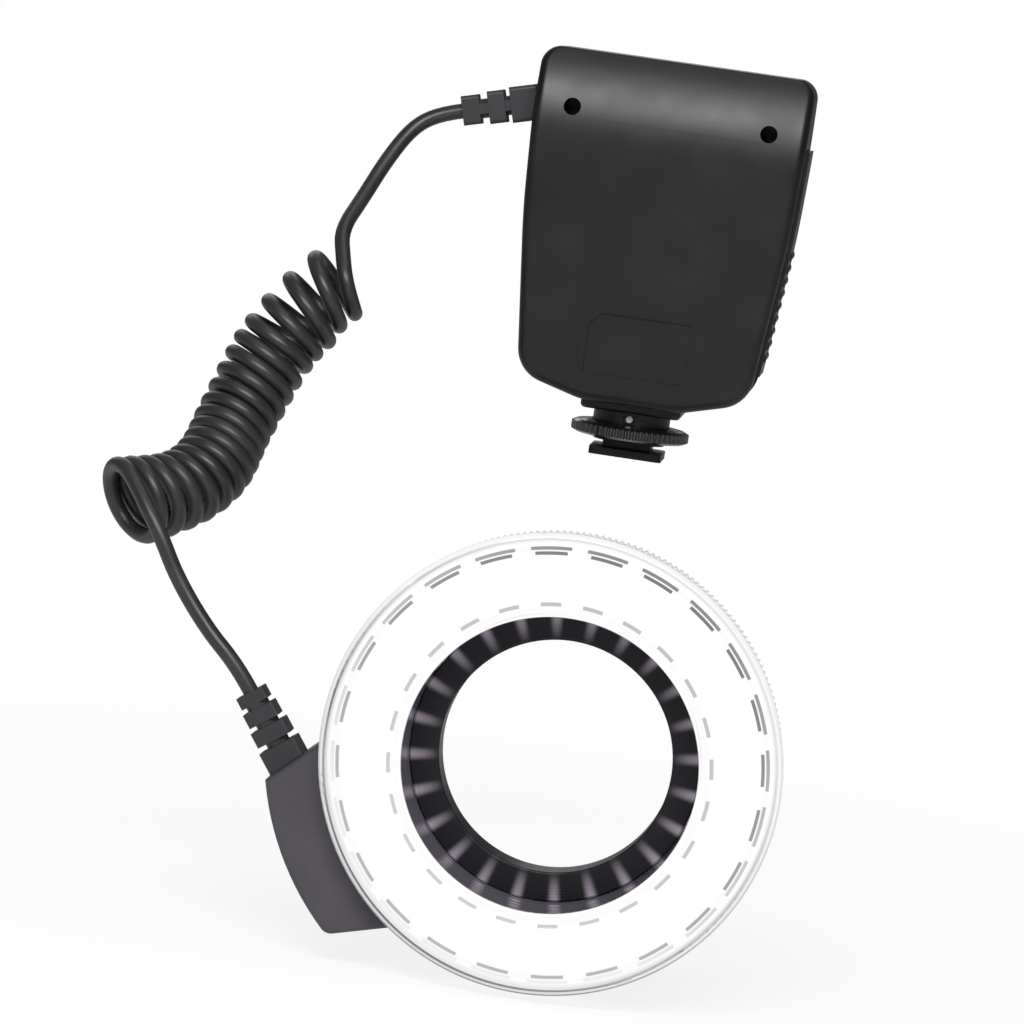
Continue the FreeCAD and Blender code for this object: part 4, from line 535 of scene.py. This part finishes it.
@dataclass(frozen=True)
class LitTrough(Surface):
    """White moulded ABS with the lamps' light on it, dimmer on its lips between the lamps."""

    rows: LampRows = LampRows()
    plastic: str = "e9e9ea"
    bright: str = "ffffff"
    dim: str = "6f6c72"
    strength: float = 1.15
    dim_half_turn: float = 0.31
    lips: tuple[tuple[float, float], ...] = ((37.9, 38.95), (49.5, 50.5))

    def shade(self, tree: Tree) -> Socket:
        """White plastic that glows, with its lips masked."""
        polar = self.rows.polar(tree)
        dash = maths(tree, "COMPARE", polar.turn, 0.5, self.dim_half_turn)
        inner, outer = (
            maths(tree, "COMPARE", polar.radius, (start + end) / 2, (end - start) / 2)
            for start, end in self.lips
        )
        mask = maths(tree, "MULTIPLY", maths(tree, "MAXIMUM", inner, outer), dash)
        return principled(
            tree,
            {
                "Base Color": linear(self.plastic),
                "Roughness": 0.45,
                "Emission Color": mix_colours(tree, mask, linear(self.bright), linear(self.dim)),
                "Emission Strength": self.strength,
            },
        )


@dataclass(frozen=True)
class LitLens(Surface):
    """The clear epoxy of a lit lamp, brightest over its chip."""

    colour: str = "f6fbff"
    strength: float = 3.0
    patch_mm: float = 3.0

    def shade(self, tree: Tree) -> Socket:
        """Epoxy that glows a little unevenly."""
        patches = noise(tree, object_coords(tree), self.patch_mm, 1.0)
        strengths = (self.strength * 0.7, self.strength * 1.3)
        return principled(
            tree,
            {
                "Base Color": linear(self.colour),
                "Roughness": 0.08,
                "IOR": 1.55,
                "Emission Color": linear(self.colour),
                "Emission Strength": remap(tree, patches, strengths),
            },
        )


@dataclass(frozen=True)
class TurnedAnodised(Surface):
    """Black anodised aluminium, turned on a lathe, with a soft streak of painted light under each
    lamp.
    """

    rows: LampRows = LampRows()
    colour: str = "1b1a1f"
    painted_light: str = "b3a9b6"
    painted_light_half_turn: float = 0.24
    painted_light_level: float = 0.95
    fade_from: float = 28.5
    fade_to: float = 35.0
    groove_mm: float = 0.7
    groove_depth_mm: float = 0.05

    def shade(self, tree: Tree) -> Socket:
        """Grooved metal with painted light under each lamp, fading inwards."""
        polar = self.rows.polar(tree)
        # painted light: a soft streak where each lamp's light falls, fading towards the bore
        away = maths(tree, "ABSOLUTE", maths(tree, "SUBTRACT", polar.turn, 0.5))
        painted_light = remap(
            tree,
            away,
            (self.painted_light_level, 0.0),
            (0.0, self.painted_light_half_turn),
            interpolation_type="SMOOTHERSTEP",
        )
        fade = remap(tree, polar.radius, (0.05, 1.0), (self.fade_from, self.fade_to))
        amount = maths(tree, "MULTIPLY", painted_light, fade)
        grooves = maths(tree, "MULTIPLY", polar.radius, 2 * math.pi / self.groove_mm)
        wave = maths(tree, "SINE", grooves)
        return principled(
            tree,
            {
                "Base Color": mix_colours(tree, amount, linear(self.colour), linear(self.painted_light)),
                "Metallic": 0.6,
                "Roughness": 0.42,
                "Normal": bump(tree, wave, 0.25, self.groove_depth_mm),
            },
        )


@dataclass(frozen=True)
class CircuitBoard(Surface):
    """Glass-fibre board with a coloured solder mask and copper tracks under it."""

    mask: str = "14532c"
    track: str = "1f7a40"
    track_pitch_mm: float = 4.0
    track_share: float = 0.08
    track_height_mm: float = 0.05

    def shade(self, tree: Tree) -> Socket:
        """A net of raised tracks under the mask."""
        cells = add_node(
            tree,
            "ShaderNodeTexVoronoi",
            {
                "Vector": object_coords(tree),
                "Scale": 1 / (self.track_pitch_mm * MM),
                "Randomness": 0.35,
            },
            distance="CHEBYCHEV",
            feature="DISTANCE_TO_EDGE",
        )
        tracks = maths(tree, "LESS_THAN", cells.outputs["Distance"], self.track_share)
        return principled(
            tree,
            {
                "Base Color": mix_colours(tree, tracks, linear(self.mask), linear(self.track)),
                "Roughness": 0.35,
                "Normal": bump(tree, tracks, 0.3, self.track_height_mm),
            },
        )


@dataclass(frozen=True)
class CellSleeve(Surface):
    """Shrink-wrapped cells in two plain colours, bare steel at their ends."""

    body: str = "23262c"
    band: str = "b4793a"
    steel: str = "b9b9bb"
    band_x: float = 12.0
    end_x: float = 23.6
    scuff_mm: float = 2.0

    def shade(self, tree: Tree) -> Socket:
        """Body colour, then the band, then the steel end, along x."""
        coords = object_coords(tree)
        x = add_node(tree, "ShaderNodeSeparateXYZ", {"Vector": coords}).outputs["X"]
        band = maths(tree, "GREATER_THAN", x, self.band_x * MM)
        ends = maths(tree, "GREATER_THAN", x, self.end_x * MM)
        sleeve = mix_colours(tree, band, linear(self.body), linear(self.band))
        scuffs = noise(tree, coords, self.scuff_mm, 3.0)
        return principled(
            tree,
            {
                "Base Color": mix_colours(tree, ends, sleeve, linear(self.steel)),
                "Metallic": ends,
                "Roughness": remap(tree, scuffs, (0.18, 0.4)),
            },
        )


@dataclass(frozen=True)
class DisplayGlass(Surface):
    """A switched-off liquid crystal display: grey-green, its blank segments just showing."""

    ground: str = "7c877a"
    mark: str = "6c766b"
    segment_mm: tuple[float, float] = (4.5, 6.0)
    gap_mm: float = 0.7

    def shade(self, tree: Tree) -> Socket:
        """Rows of segments, upright on the display."""
        inputs = {"Vector": object_coords(tree), "Rotation": (math.pi / 2, 0.0, 0.0)}
        upright = add_node(tree, "ShaderNodeMapping", inputs).outputs["Vector"]
        segments = add_node(
            tree,
            "ShaderNodeTexBrick",
            {
                "Vector": upright,
                "Scale": 1 / MM,
                "Mortar Size": self.gap_mm,
                "Mortar Smooth": 0.1,
                "Brick Width": self.segment_mm[0],
                "Row Height": self.segment_mm[1],
                "Color1": linear(self.mark),
                "Color2": linear(self.mark),
                "Mortar": linear(self.ground),
            },
            offset=0.0,
        )
        return principled(tree, {"Base Color": segments.outputs["Color"], "Roughness": 0.25})


class Finish(Enum):
    """The object's finishes, each named for its real material and surface."""

    # ABS moulded against a spark-eroded tool: near black, dull, with a soft broad sheen
    SHELL = MouldedPlastic("abs_spark_eroded_black", "0c0b0f", "100f13", 0.38, gloss=0.36)
    # ABS from a smoother tool, greyer, with a finer grain
    HEAD = MouldedPlastic(
        "abs_satin_black", "3b383e", "454248", 0.42, grain_mm=0.25, grain=0.06, gloss=0.4
    )
    # glass-filled nylon: hard ribs that catch small bright glints
    WHEEL = MouldedPlastic("nylon_ribbed_black", "100f12", "161518", 0.2, grain=0.05, gloss=0.85)
    # polyurethane cord jacket: rubbery, slightly cloudy
    JACKET = MouldedPlastic(
        "polyurethane_jacket_black", "232325", "2d2d2f", 0.4, grain_mm=0.5, grain=0.06, gloss=0.42
    )
    # soft PVC moulded over the cord's ends
    RELIEF = MouldedPlastic("pvc_relief_black", "232326", "2b2b2e", 0.44, grain_mm=0.4, gloss=0.4)
    # silicone rubber key caps
    KEYS = MouldedPlastic(
        "silicone_rubber_grey", "3c3d40", "434447", 0.6, grain_mm=0.4, grain=0.08, gloss=0.3
    )
    # polypropylene of the battery bay
    BAY = MouldedPlastic("polypropylene_black", "1c1c1e", "242426", 0.5)
    # pad-printed marks on the keys
    PRINT = MouldedPlastic("pad_print_white", "d9d9d6", "e4e4e1", 0.5, grain=0.02)
    # zinc-plated steel of the screws that aren't blackened, and of the hinge pin
    STEEL = BareMetal("zinc_plated_steel", "b9babd", 0.34, stretch=(1.0, 1.0, 6.0))
    # nickel-plated spring wire
    WIRE = BareMetal("nickel_spring_wire", "c9c9cb", 0.22)
    # gold-flashed brass contacts
    CONTACT = BareMetal("gold_flashed_brass", "d9b467", 0.25)
    # black oxide on steel screws and plates
    BLACK_STEEL = BareMetal("black_oxide_steel", "29292b", 0.42)
    # white acetal peg
    PEG = MouldedPlastic("acetal_white", "dcdcda", "e8e8e6", 0.4, grain=0.04)
    # injection-moulded acrylic front, polished tool, with the lamps' light in it
    COVER = LitCover(
        "acrylic_clear_lit",
        (
            # painted shade on the glow: dashes between the lamps, and whole rings at the lip and
            # rim
            PaintedShadeRing(50.4, 0.8, 65.0, 0.82, 0.5),
            PaintedShadeRing(51.6, 0.8, 65.0, 0.75, 0.12, half_turn=0.36),
            PaintedShadeRing(38.3, 0.9, 65.0, 0.45, 0.38, half_turn=0.24),
            PaintedShadeRing(53.7, 0.55, 235.0, 0.85, 0.15, broken=False),
            PaintedShadeRing(54.85, 0.55, 265.0, 0.9, 0.05, broken=False),
        ),
    )
    # polycarbonate window over the display
    WINDOW = ClearPlastic("polycarbonate_window", "e6e9ea", 0.02, 1.58)
    # green solder mask on the unit's boards
    BOARD = CircuitBoard("fr4_green_mask")
    # the lamps' board, masked white to send their light forward
    BOARD_WHITE = CircuitBoard("fr4_white_mask", "e6e6e4", "d2d2cf")
    # printed shrink sleeve of the cells, with their steel ends
    CELLS = CellSleeve("cell_shrink_sleeve")
    # glass of the liquid crystal display
    DISPLAY = DisplayGlass("display_glass_off")
    # white ABS reflector that the lamps light up
    TROUGH = LitTrough("abs_white_lit")
    # clear epoxy of the lit lamps
    LENS = LitLens("epoxy_lens_lit")
    # black anodised aluminium of the adapter, with painted light under each lamp
    ADAPTER = TurnedAnodised("aluminium_turned_anodised_black")

    def material(self) -> bpy.types.Material:
        """The finish's material, made the first time that it is asked for."""
        return bpy.data.materials.get(self.value.name) or self.value.make()


# Studio


def seen_directly(tree: Tree) -> Socket:
    """1 for rays that see a surface directly or through clear plastic, else 0."""
    path = add_node(tree, "ShaderNodeLightPath").outputs
    return maths(tree, "MAXIMUM", path["Is Camera Ray"], path["Is Transmission Ray"])


@dataclass(frozen=True)
class Paper(Surface):
    """Matt paper, white where it is looked at, with the object's shadow left on it."""

    colour: str = "f4f4f3"
    mirrored_share: float = 0.15
    near_share: float = 0.8
    near_reach: float = 0.1
    far_reach: float = 0.4

    def shade(self, tree: Tree) -> Socket:
        """Plain paper near the object, and white further off."""
        seen = seen_directly(tree)
        path = add_node(tree, "ShaderNodeLightPath").outputs
        mirrored = maths(tree, "MULTIPLY", path["Is Glossy Ray"], self.mirrored_share)
        shown = maths(tree, "MAXIMUM", seen, mirrored)
        paper = add_node(tree, "ShaderNodeBsdfDiffuse", {"Color": linear(self.colour)})
        white = add_node(tree, "ShaderNodeEmission", {"Color": WHITE, "Strength": 1.0})
        reach = add_node(tree, "ShaderNodeVectorMath", {0: object_coords(tree)}, operation="LENGTH")
        distances = (self.near_reach, self.far_reach)
        white_share = remap(tree, reach.outputs["Value"], (self.near_share, 1.0), distances)
        share = maths(tree, "MULTIPLY", shown, white_share)
        return mix_shaders(tree, share, paper.outputs[0], white.outputs[0])


@dataclass(frozen=True)
class SoftBox:
    """A rectangular lamp: where it hangs, what it points at and its size, all in metres."""

    name: str
    spot: Point
    aim: Point
    size: tuple[float, float]
    watts: float

    def hang(self) -> None:
        """Hang the lamp."""
        data = bpy.data.lights.new(self.name, "AREA")
        data.shape = "RECTANGLE"
        data.size, data.size_y = self.size
        data.energy = self.watts
        away = Vector(self.spot) - Vector(self.aim)
        turn = away.to_track_quat("Z", "Y").to_matrix().to_4x4()
        link_object(self.name, data).matrix_world = Matrix.Translation(self.spot) @ turn


@dataclass
class Studio:
    """Camera, floor, world and lamps."""

    eye: Point = (84.72, -1355.43, 115.54)
    azimuth: float = 4.718512
    elevation: float = 5.642321
    roll: float = 8.1
    focal_px: float = 5300.0
    image_px: float = 1024.0
    sensor_mm: float = 36.0
    clip: tuple[float, float] = (0.05, 60.0)
    floor_z: float = -122.0
    floor_size: float = 24.0
    paper: Paper = Paper("paper_white")
    ambient: float = 0.13
    boxes: tuple[SoftBox, ...] = (
        SoftBox("front_box", (0.05, -1.3, 0.9), (0.0, -0.05, 0.06), (1.1, 0.42), 26.0),
        SoftBox("top_box", (0.1, -0.1, 1.3), (0.0, -0.05, 0.0), (0.8, 0.8), 3.0),
        SoftBox("back_box", (-0.5, 1.3, 0.7), (0.0, 0.0, 0.03), (1.2, 0.8), 4.0),
    )

    def place_camera(self) -> None:
        """Set the camera where the picture was taken from."""
        az, el, roll = (math.radians(v) for v in (self.azimuth, self.elevation, self.roll))
        ahead = Vector(
            (-math.sin(az) * math.cos(el), math.cos(az) * math.cos(el), -math.sin(el))
        )
        level = Vector((math.cos(az), math.sin(az), 0.0))
        upward = level.cross(ahead)
        right = level * math.cos(roll) + upward * math.sin(roll)
        top = upward * math.cos(roll) - level * math.sin(roll)
        data = bpy.data.cameras.new("camera")
        data.sensor_width = self.sensor_mm
        data.lens = self.focal_px / self.image_px * self.sensor_mm
        data.clip_start, data.clip_end = self.clip
        camera = link_object("camera", data)
        turn = Matrix((right, top, -ahead)).transposed().to_4x4()
        camera.matrix_world = Matrix.Translation(Vector(self.eye) * MM) @ turn
        bpy.context.scene.camera = camera
        LOG.info("camera: lens %.1f mm", data.lens)

    def lay_floor(self) -> None:
        """A plain white floor under the head."""
        shape = bmesh.new()
        bmesh.ops.create_grid(shape, x_segments=1, y_segments=1, size=self.floor_size / 2)
        bmesh.ops.translate(shape, verts=shape.verts, vec=(0.0, 0.0, self.floor_z * MM))
        floor = mesh_piece("floor", shape, smooth=False)
        dress(floor, self.paper.make())

    def light_world(self) -> None:
        """Even soft light, white where it is looked at."""
        world = bpy.data.worlds.new("studio")
        bpy.context.scene.world = world
        world.use_nodes = True
        tree = world.node_tree
        tree.nodes.clear()
        level = remap(tree, seen_directly(tree), (self.ambient, 1.0))
        sky = add_node(tree, "ShaderNodeBackground", {"Strength": level, "Color": WHITE})
        add_node(tree, "ShaderNodeOutputWorld", {"Surface": sky.outputs[0]})

    def build(self) -> None:
        """Camera first, then what lights the object."""
        self.place_camera()
        self.lay_floor()
        self.light_world()
        for box in self.boxes:
            box.hang()
        bpy.context.scene.view_settings.view_transform = "Standard"


# Cord


class CurlKey(NamedTuple):
    """The coil at one turn number: its middle line and radius in millimetres, angles in degrees."""

    turn: float
    x: float
    y: float
    z: float
    lean: float
    tilt: float
    radius: float


@dataclass
class CurlyCord:
    """The cord from the control unit to the ring head, with its coil of curls."""

    radius: float = 1.95
    start_turn: float = -0.1
    end_turn: float = 18.92
    points_per_turn: int = 16
    stub: float = 4.0
    real_length: float = 1144.6
    unit_tip: Point = (-53.739, -3.0, 81.579)
    unit_first: Point = (-59.921, -3.0, 79.922)
    ring_tip: Point = (-74.327, -107.0, -60.240)
    ring_first: Point = (-78.471, -107.0, -54.598)
    upper_last_run: float = 7.0
    lower_first_run: float = 5.0
    upper: tuple[Point, ...] = (
        (-66.0, -4.6, 75.6),
        (-71.0, -9.7, 66.3),
        (-74.8, -15.8, 56.4),
    )
    lower: tuple[Point, ...] = (
        (-101.5, -103.4, -26.7),
        (-96.2, -103.6, -36.3),
        (-87.1, -105.3, -47.2),
    )
    keys: tuple[CurlKey, ...] = (
        CurlKey(0.0, -74.1, -26.0, 35.6, 63.3, 2.0, 7.9),
        CurlKey(1.0, -79.1, -31.0, 32.4, 52.3, 9.4, 8.8),
        CurlKey(2.0, -82.3, -34.5, 27.1, 40.2, 10.4, 8.9),
        CurlKey(3.0, -85.5, -38.0, 22.5, 31.2, 9.8, 8.8),
        CurlKey(4.0, -87.6, -41.8, 18.5, 23.6, 8.8, 8.7),
        CurlKey(5.25, -89.7, -45.5, 13.5, 24.7, 12.9, 8.6),
        CurlKey(9.0, -93.8, -57.0, -1.0, 20.1, 31.6, 8.1),
        CurlKey(12.75, -96.2, -69.0, -11.5, 22.8, 35.5, 8.2),
        CurlKey(15.25, -101.4, -77.5, -17.1, 35.5, 39.3, 8.5),
        CurlKey(19.0, -113.2, -91.0, -21.6, 66.4, 35.3, 9.5),
    )

    def key_at(self, turn: float) -> CurlKey:
        """The coil at a turn number, on a smooth curve through the keys.

        Args:
            turn: The turn number.

        Returns:
            The coil there.
        """
        keys = self.keys
        i = 0
        while i < len(keys) - 2 and turn > keys[i + 1].turn:
            i += 1
        span = keys[i + 1].turn - keys[i].turn
        t = (turn - keys[i].turn) / span

        def slope(k: int, column: int) -> float:
            """The slope of one column at a key."""
            low, high = keys[max(k - 1, 0)], keys[min(k + 1, len(keys) - 1)]
            return (high[column] - low[column]) / (high.turn - low.turn)

        return CurlKey(
            *(
                (2 * t**3 - 3 * t**2 + 1) * keys[i][column]
                + (t**3 - 2 * t**2 + t) * span * slope(i, column)
                + (3 * t**2 - 2 * t**3) * keys[i + 1][column]
                + (t**3 - t**2) * span * slope(i + 1, column)
                for column in range(len(keys[i]))
            )
        )

    def curl_point(self, turn: float, widened: float = 1.0) -> Vector:
        """A point of a curl.

        Args:
            turn: The turn number.
            widened: What the curl's radius there is multiplied by, 0 for its middle.

        Returns:
            The point, in millimetres.
        """
        key = self.key_at(turn)
        lean, tilt = math.radians(key.lean), math.radians(key.tilt)
        level = Vector((-math.sin(lean), 0.0, -math.cos(lean)))
        across = Vector((math.cos(lean), 0.0, -math.sin(lean)))
        forward = Vector((0.0, -math.cos(tilt), 0.0)) - level * math.sin(tilt)
        phase = 2 * math.pi * turn
        outward = forward * math.cos(phase) + across * math.sin(phase)
        return Vector((key.x, key.y, key.z)) + outward * (key.radius * widened)

    def curl_direction(self, turn: float) -> Vector:
        """The cord's direction at a turn number."""
        step = 0.002
        return (self.curl_point(turn + step) - self.curl_point(turn - step)).normalized()

    def route(self) -> list[Vector]:
        """The spline's own points from the unit to the head, in metres."""
        begin, end = self.start_turn, self.end_turn
        count = round((end - begin) * self.points_per_turn)
        widened = 1 / math.cos(math.pi * (end - begin) / count)
        first, last = self.curl_point(begin), self.curl_point(end)
        inward, outward = self.curl_direction(begin), self.curl_direction(end)
        points = [Vector(p) for p in (self.unit_tip, self.unit_first, *self.upper)]
        points.append(first - inward * (self.stub + self.upper_last_run))
        points.append(first - inward * self.stub / 2)
        for i in range(1, count):
            points.append(self.curl_point(begin + (end - begin) * i / count, widened))
        points.append(last + outward * self.stub / 2)
        points.append(last + outward * (self.stub + self.lower_first_run))
        points += [Vector(p) for p in (*self.lower, self.ring_first, self.ring_tip)]
        return [p * MM for p in points]

    def meshed(self, name: str, bevel: float) -> bpy.types.Mesh:
        """The mesh of the route as one open spline, whose curve is then dropped.

        Args:
            name: The mesh's name.
            bevel: The tube's radius in metres, or 0 for a bare line.

        Returns:
            The mesh.
        """
        data = bpy.data.curves.new(name, "CURVE")
        data.dimensions = "3D"
        data.resolution_u = 5
        data.bevel_depth = bevel
        data.bevel_resolution = 6
        data.use_fill_caps = True
        line = data.splines.new("NURBS")
        points = self.route()
        line.points.add(len(points) - 1)
        for spot, point in zip(line.points, points):
            spot.co = (point.x, point.y, point.z, 1.0)
        line.order_u = 3
        line.use_endpoint_u = True
        curve = link_object(name, data)
        bpy.context.view_layer.update()
        mesh = bpy.data.meshes.new_from_object(curve)
        mesh.name = name
        bpy.data.objects.remove(curve)
        return mesh

    def build(self) -> None:
        line = self.meshed("cord_line", 0.0)
        tube = self.meshed("curly_cord", self.radius * MM)
        for polygon in tube.polygons:
            polygon.use_smooth = True
        cord = link_object("curly_cord", tube)
        dress(cord, Finish.JACKET.material())
        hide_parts("cord_upper_lead", "cord_coil", "cord_lower_lead")
        # the point at the middle of its first curl, not used further
        start = self.curl_point(0.5, 0.0) * MM
        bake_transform(cord)


# Small springs


class Axis(Enum):
    """The axis that a spring is wound about, then its side and up directions."""

    X = (Vector((1, 0, 0)), Vector((0, 1, 0)), Vector((0, 0, 1)))
    Z = (Vector((0, 0, 1)), Vector((1, 0, 0)), Vector((0, 1, 0)))


@dataclass(frozen=True)
class Winding:
    """How a small spring is wound, in millimetres."""

    axis: Axis
    length: float
    first_radius: float
    last_radius: float
    wire: float
    turns: int
    steps: int = 14
    sides: int = 6

    def add_to(self, shape: bmesh.types.BMesh, start: Vector) -> None:
        """Wind one spring into a bmesh.

        Args:
            shape: The bmesh it is added to, in metres.
            start: The middle of its first turn, in millimetres.
        """
        along, side, up = self.axis.value
        centre = start * MM
        ring = bmesh.ops.create_circle(shape, segments=self.sides, radius=self.wire * MM)["verts"]
        edges = list({edge for vert in ring for edge in vert.link_edges})
        place = Matrix((side, along, up)).transposed().to_4x4()
        begin = Matrix.Translation((start + side * self.first_radius) * MM)
        bmesh.ops.transform(shape, matrix=begin @ place, verts=ring)
        count = self.turns * self.steps
        angle = 2 * math.pi / self.steps
        growth = (self.last_radius - self.first_radius) / count
        for i in range(count):
            made = bmesh.ops.extrude_edge_only(shape, edges=edges)["geom"]
            ring = [g for g in made if isinstance(g, bmesh.types.BMVert)]
            edges = [
                g
                for g in made
                if isinstance(g, bmesh.types.BMEdge) and all(v in ring for v in g.verts)
            ]
            turn = Matrix.Rotation(angle, 3, along)
            bmesh.ops.rotate(shape, verts=ring, cent=centre, matrix=turn)
            turned = Matrix.Rotation(angle * (i + 1), 3, along) @ side
            step = along * (self.length / count) + turned * growth
            bmesh.ops.translate(shape, verts=ring, vec=step * MM)


@dataclass(frozen=True)
class Squeeze:
    """The joint, axis, end that stays and share kept for a set of springs; only its presence is
    read.
    """

    joint: str
    axis: Point
    fixed_end: Point
    keep: float


@dataclass
class SpringSet:
    """Springs, wound alike, that replace one CAD node."""

    node: str
    body: str
    winding: Winding
    starts: list[Vector]
    squeeze: Squeeze | None = None

    def build(self) -> None:
        """Wind all the springs of the set as one piece."""
        shape = bmesh.new()
        for start in self.starts:
            self.winding.add_to(shape, start)
        piece = mesh_piece(self.node + "_wound", shape)
        dress(piece, Finish.WIRE.material())
        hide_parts(self.node)
        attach(piece, self.body)
        if self.squeeze:
            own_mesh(piece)
        LOG.info("%s: %d springs", piece.name, len(self.starts))


# Sub-assemblies


@dataclass
class KeyMark:
    """A mark printed on a key, as thin raised bars.

    Each bar is how far across and up from the key's centre it lies, its width and its height.
    """

    key: str
    bars: tuple[tuple[float, float, float, float], ...]
    face_y: float = 15.0
    thickness: float = 0.06
    softened: float = 0.015

    def build(self) -> None:
        """Print the mark on its key."""
        low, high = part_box(self.key)
        middle = (Vector(low) + Vector(high)) / 2
        shape = bmesh.new()
        for across, up, width, height in self.bars:
            made = bmesh.ops.create_cube(shape, size=1.0)["verts"]
            size = Vector((width, self.thickness, height)) * MM
            bmesh.ops.scale(shape, vec=size, verts=made)
            y = (self.face_y + self.thickness / 2) * MM
            spot = (middle.x - across * MM, y, middle.z + up * MM)
            bmesh.ops.translate(shape, vec=spot, verts=made)
        bmesh.ops.bevel(
            shape,
            geom=shape.edges[:],
            offset=self.softened * MM,
            offset_type="OFFSET",
            affect="EDGES",
            segments=1,
            profile=0.5,
            material=-1,
        )
        piece = mesh_piece(self.key + "_mark", shape, smooth=False)
        dress(piece, Finish.PRINT.material())
        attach(piece, self.key)
        LOG.info("%s", piece.name)


@dataclass
class SubAssembly:
    """A group of CAD nodes with their finishes and small pieces."""

    @property
    def finishes(self) -> dict[Finish, tuple[str, ...]]:
        """The CAD nodes that get each finish."""
        raise NotImplementedError

    def wind_springs(self) -> None:
        """Wind wire springs in place of their plain outer forms."""
        raise NotImplementedError

    def build(self) -> None:
        """Dress the CAD nodes and add the small pieces."""
        for finish, names in self.finishes.items():
            dress_nodes(names, finish.material())
        self.wind_springs()


@dataclass
class ControlUnit(SubAssembly):
    """The battery unit that stands on the shoe foot."""

    cell_z: tuple[float, ...] = (29.0, 43.7, 58.4, 73.1)
    cell_y: float = -8.2
    cell_spring_x: float = -26.8
    cell_winding: Winding = Winding(Axis.X, 1.5, 3.9, 2.3, wire=0.25, turns=4)
    pin_offset: float = 2.35
    pin_spring_z: float = 2.05
    pin_spring_end: float = 5.35
    pin_spring_kept: float = 0.8
    pin_winding: Winding = Winding(Axis.Z, 3.2, 0.95, 0.95, wire=0.11, turns=6)
    mark_length: float = 2.2
    mark_width: float = 0.45

    @property
    def finishes(self) -> dict[Finish, tuple[str, ...]]:
        """The unit's CAD nodes that get each finish."""
        return {
            Finish.SHELL: ("front_shell", "rear_shell", "battery_door", "foot_base"),
            Finish.BAY: ("battery_tray", "contact_carrier", "power_slider"),
            Finish.WHEEL: ("lock_wheel",),
            Finish.CELLS: ("battery_cells",),
            Finish.STEEL: ("foot_screws", "door_pin"),
            Finish.BLACK_STEEL: ("shell_screws", "foot_plate", "clamp_washer"),
            Finish.PEG: ("index_peg",),
            Finish.CONTACT: ("cell_contact_strips", "door_contacts", "contact_pins"),
            Finish.BOARD: ("main_board", "button_board"),
            Finish.DISPLAY: ("display_module",),
            Finish.WINDOW: ("display_window",),
            Finish.KEYS: (
                "mode_button",
                "minus_button",
                "plus_button",
                "lamp_button",
                "test_button",
            ),
            Finish.RELIEF: ("unit_strain_relief",),
        }

    def wind_springs(self) -> None:
        """Wire springs under the cells and the contact pins."""
        cells = [Vector((self.cell_spring_x, self.cell_y, z)) for z in self.cell_z]
        SpringSet("cell_springs", "control_unit", self.cell_winding, cells).build()
        sides = (-self.pin_offset, self.pin_offset)
        spots = [(0.0, 0.0)] + [(x, y) for x in sides for y in sides]
        pins = [Vector((x, y, self.pin_spring_z)) for x, y in spots]
        fixed_end = (0.0, 0.0, self.pin_spring_end * MM)
        squeeze = Squeeze("contact_press", (0.0, 0.0, 1.0), fixed_end, self.pin_spring_kept)
        SpringSet("contact_springs", "control_unit", self.pin_winding, pins, squeeze).build()

    def build(self) -> None:
        """Dress the unit, then print plain marks on two keys."""
        super().build()
        level = (0.0, 0.0, self.mark_length, self.mark_width)
        upright = (0.0, 0.0, self.mark_width, self.mark_length)
        KeyMark("minus_button", (level,)).build()
        KeyMark("plus_button", (level, upright)).build()


@dataclass
class RingHead(SubAssembly):
    """The ring of lamps with its cover, adapter and latches."""

    latch_spring_y: float = -100.85
    latch_spring_gap: float = 3.5
    latch_spring_inset: float = 0.05
    latch_spring_kept: float = 0.54
    latch_winding: Winding = Winding(Axis.X, 2.55, 0.5, 0.5, wire=0.09, turns=6)

    @property
    def finishes(self) -> dict[Finish, tuple[str, ...]]:
        """The head's CAD nodes that get each finish."""
        return {
            Finish.HEAD: ("ring_housing", "rear_cover", "left_latch", "right_latch"),
            Finish.COVER: ("front_cover", "grip_rim"),
            Finish.TROUGH: ("reflector",),
            Finish.LENS: ("outer_leds", "inner_leds"),
            Finish.BOARD_WHITE: ("led_board",),
            Finish.STEEL: ("rear_screws",),
            Finish.ADAPTER: ("adapter_ring",),
            Finish.RELIEF: ("ring_strain_relief",),
        }

    def wind_springs(self) -> None:
        """Wire springs behind the latches."""
        for node, is_right in (("right_latch_springs", True), ("left_latch_springs", False)):
            low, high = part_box(node)
            x = low[0] / MM + self.latch_spring_inset
            starts = [
                Vector((x, self.latch_spring_y, HEAD_AXIS_Z + z))
                for z in (-self.latch_spring_gap, self.latch_spring_gap)
            ]
            outer_end = high[0] if is_right else low[0]
            squeeze = Squeeze(
                node.replace("_springs", "_release"),
                (1.0, 0.0, 0.0),
                (outer_end, self.latch_spring_y * MM, HEAD_AXIS_Z * MM),
                self.latch_spring_kept,
            )
            SpringSet(node, "ring_head", self.latch_winding, starts, squeeze).build()


def main() -> None:
    """Build the scene in order: studio, cord, then the rest."""
    logging.basicConfig(level=logging.INFO, format="%(name)s %(message)s")
    Studio().build()
    CurlyCord().build()
    ControlUnit().build()
    RingHead().build()


if __name__ == "__main__":
    main()
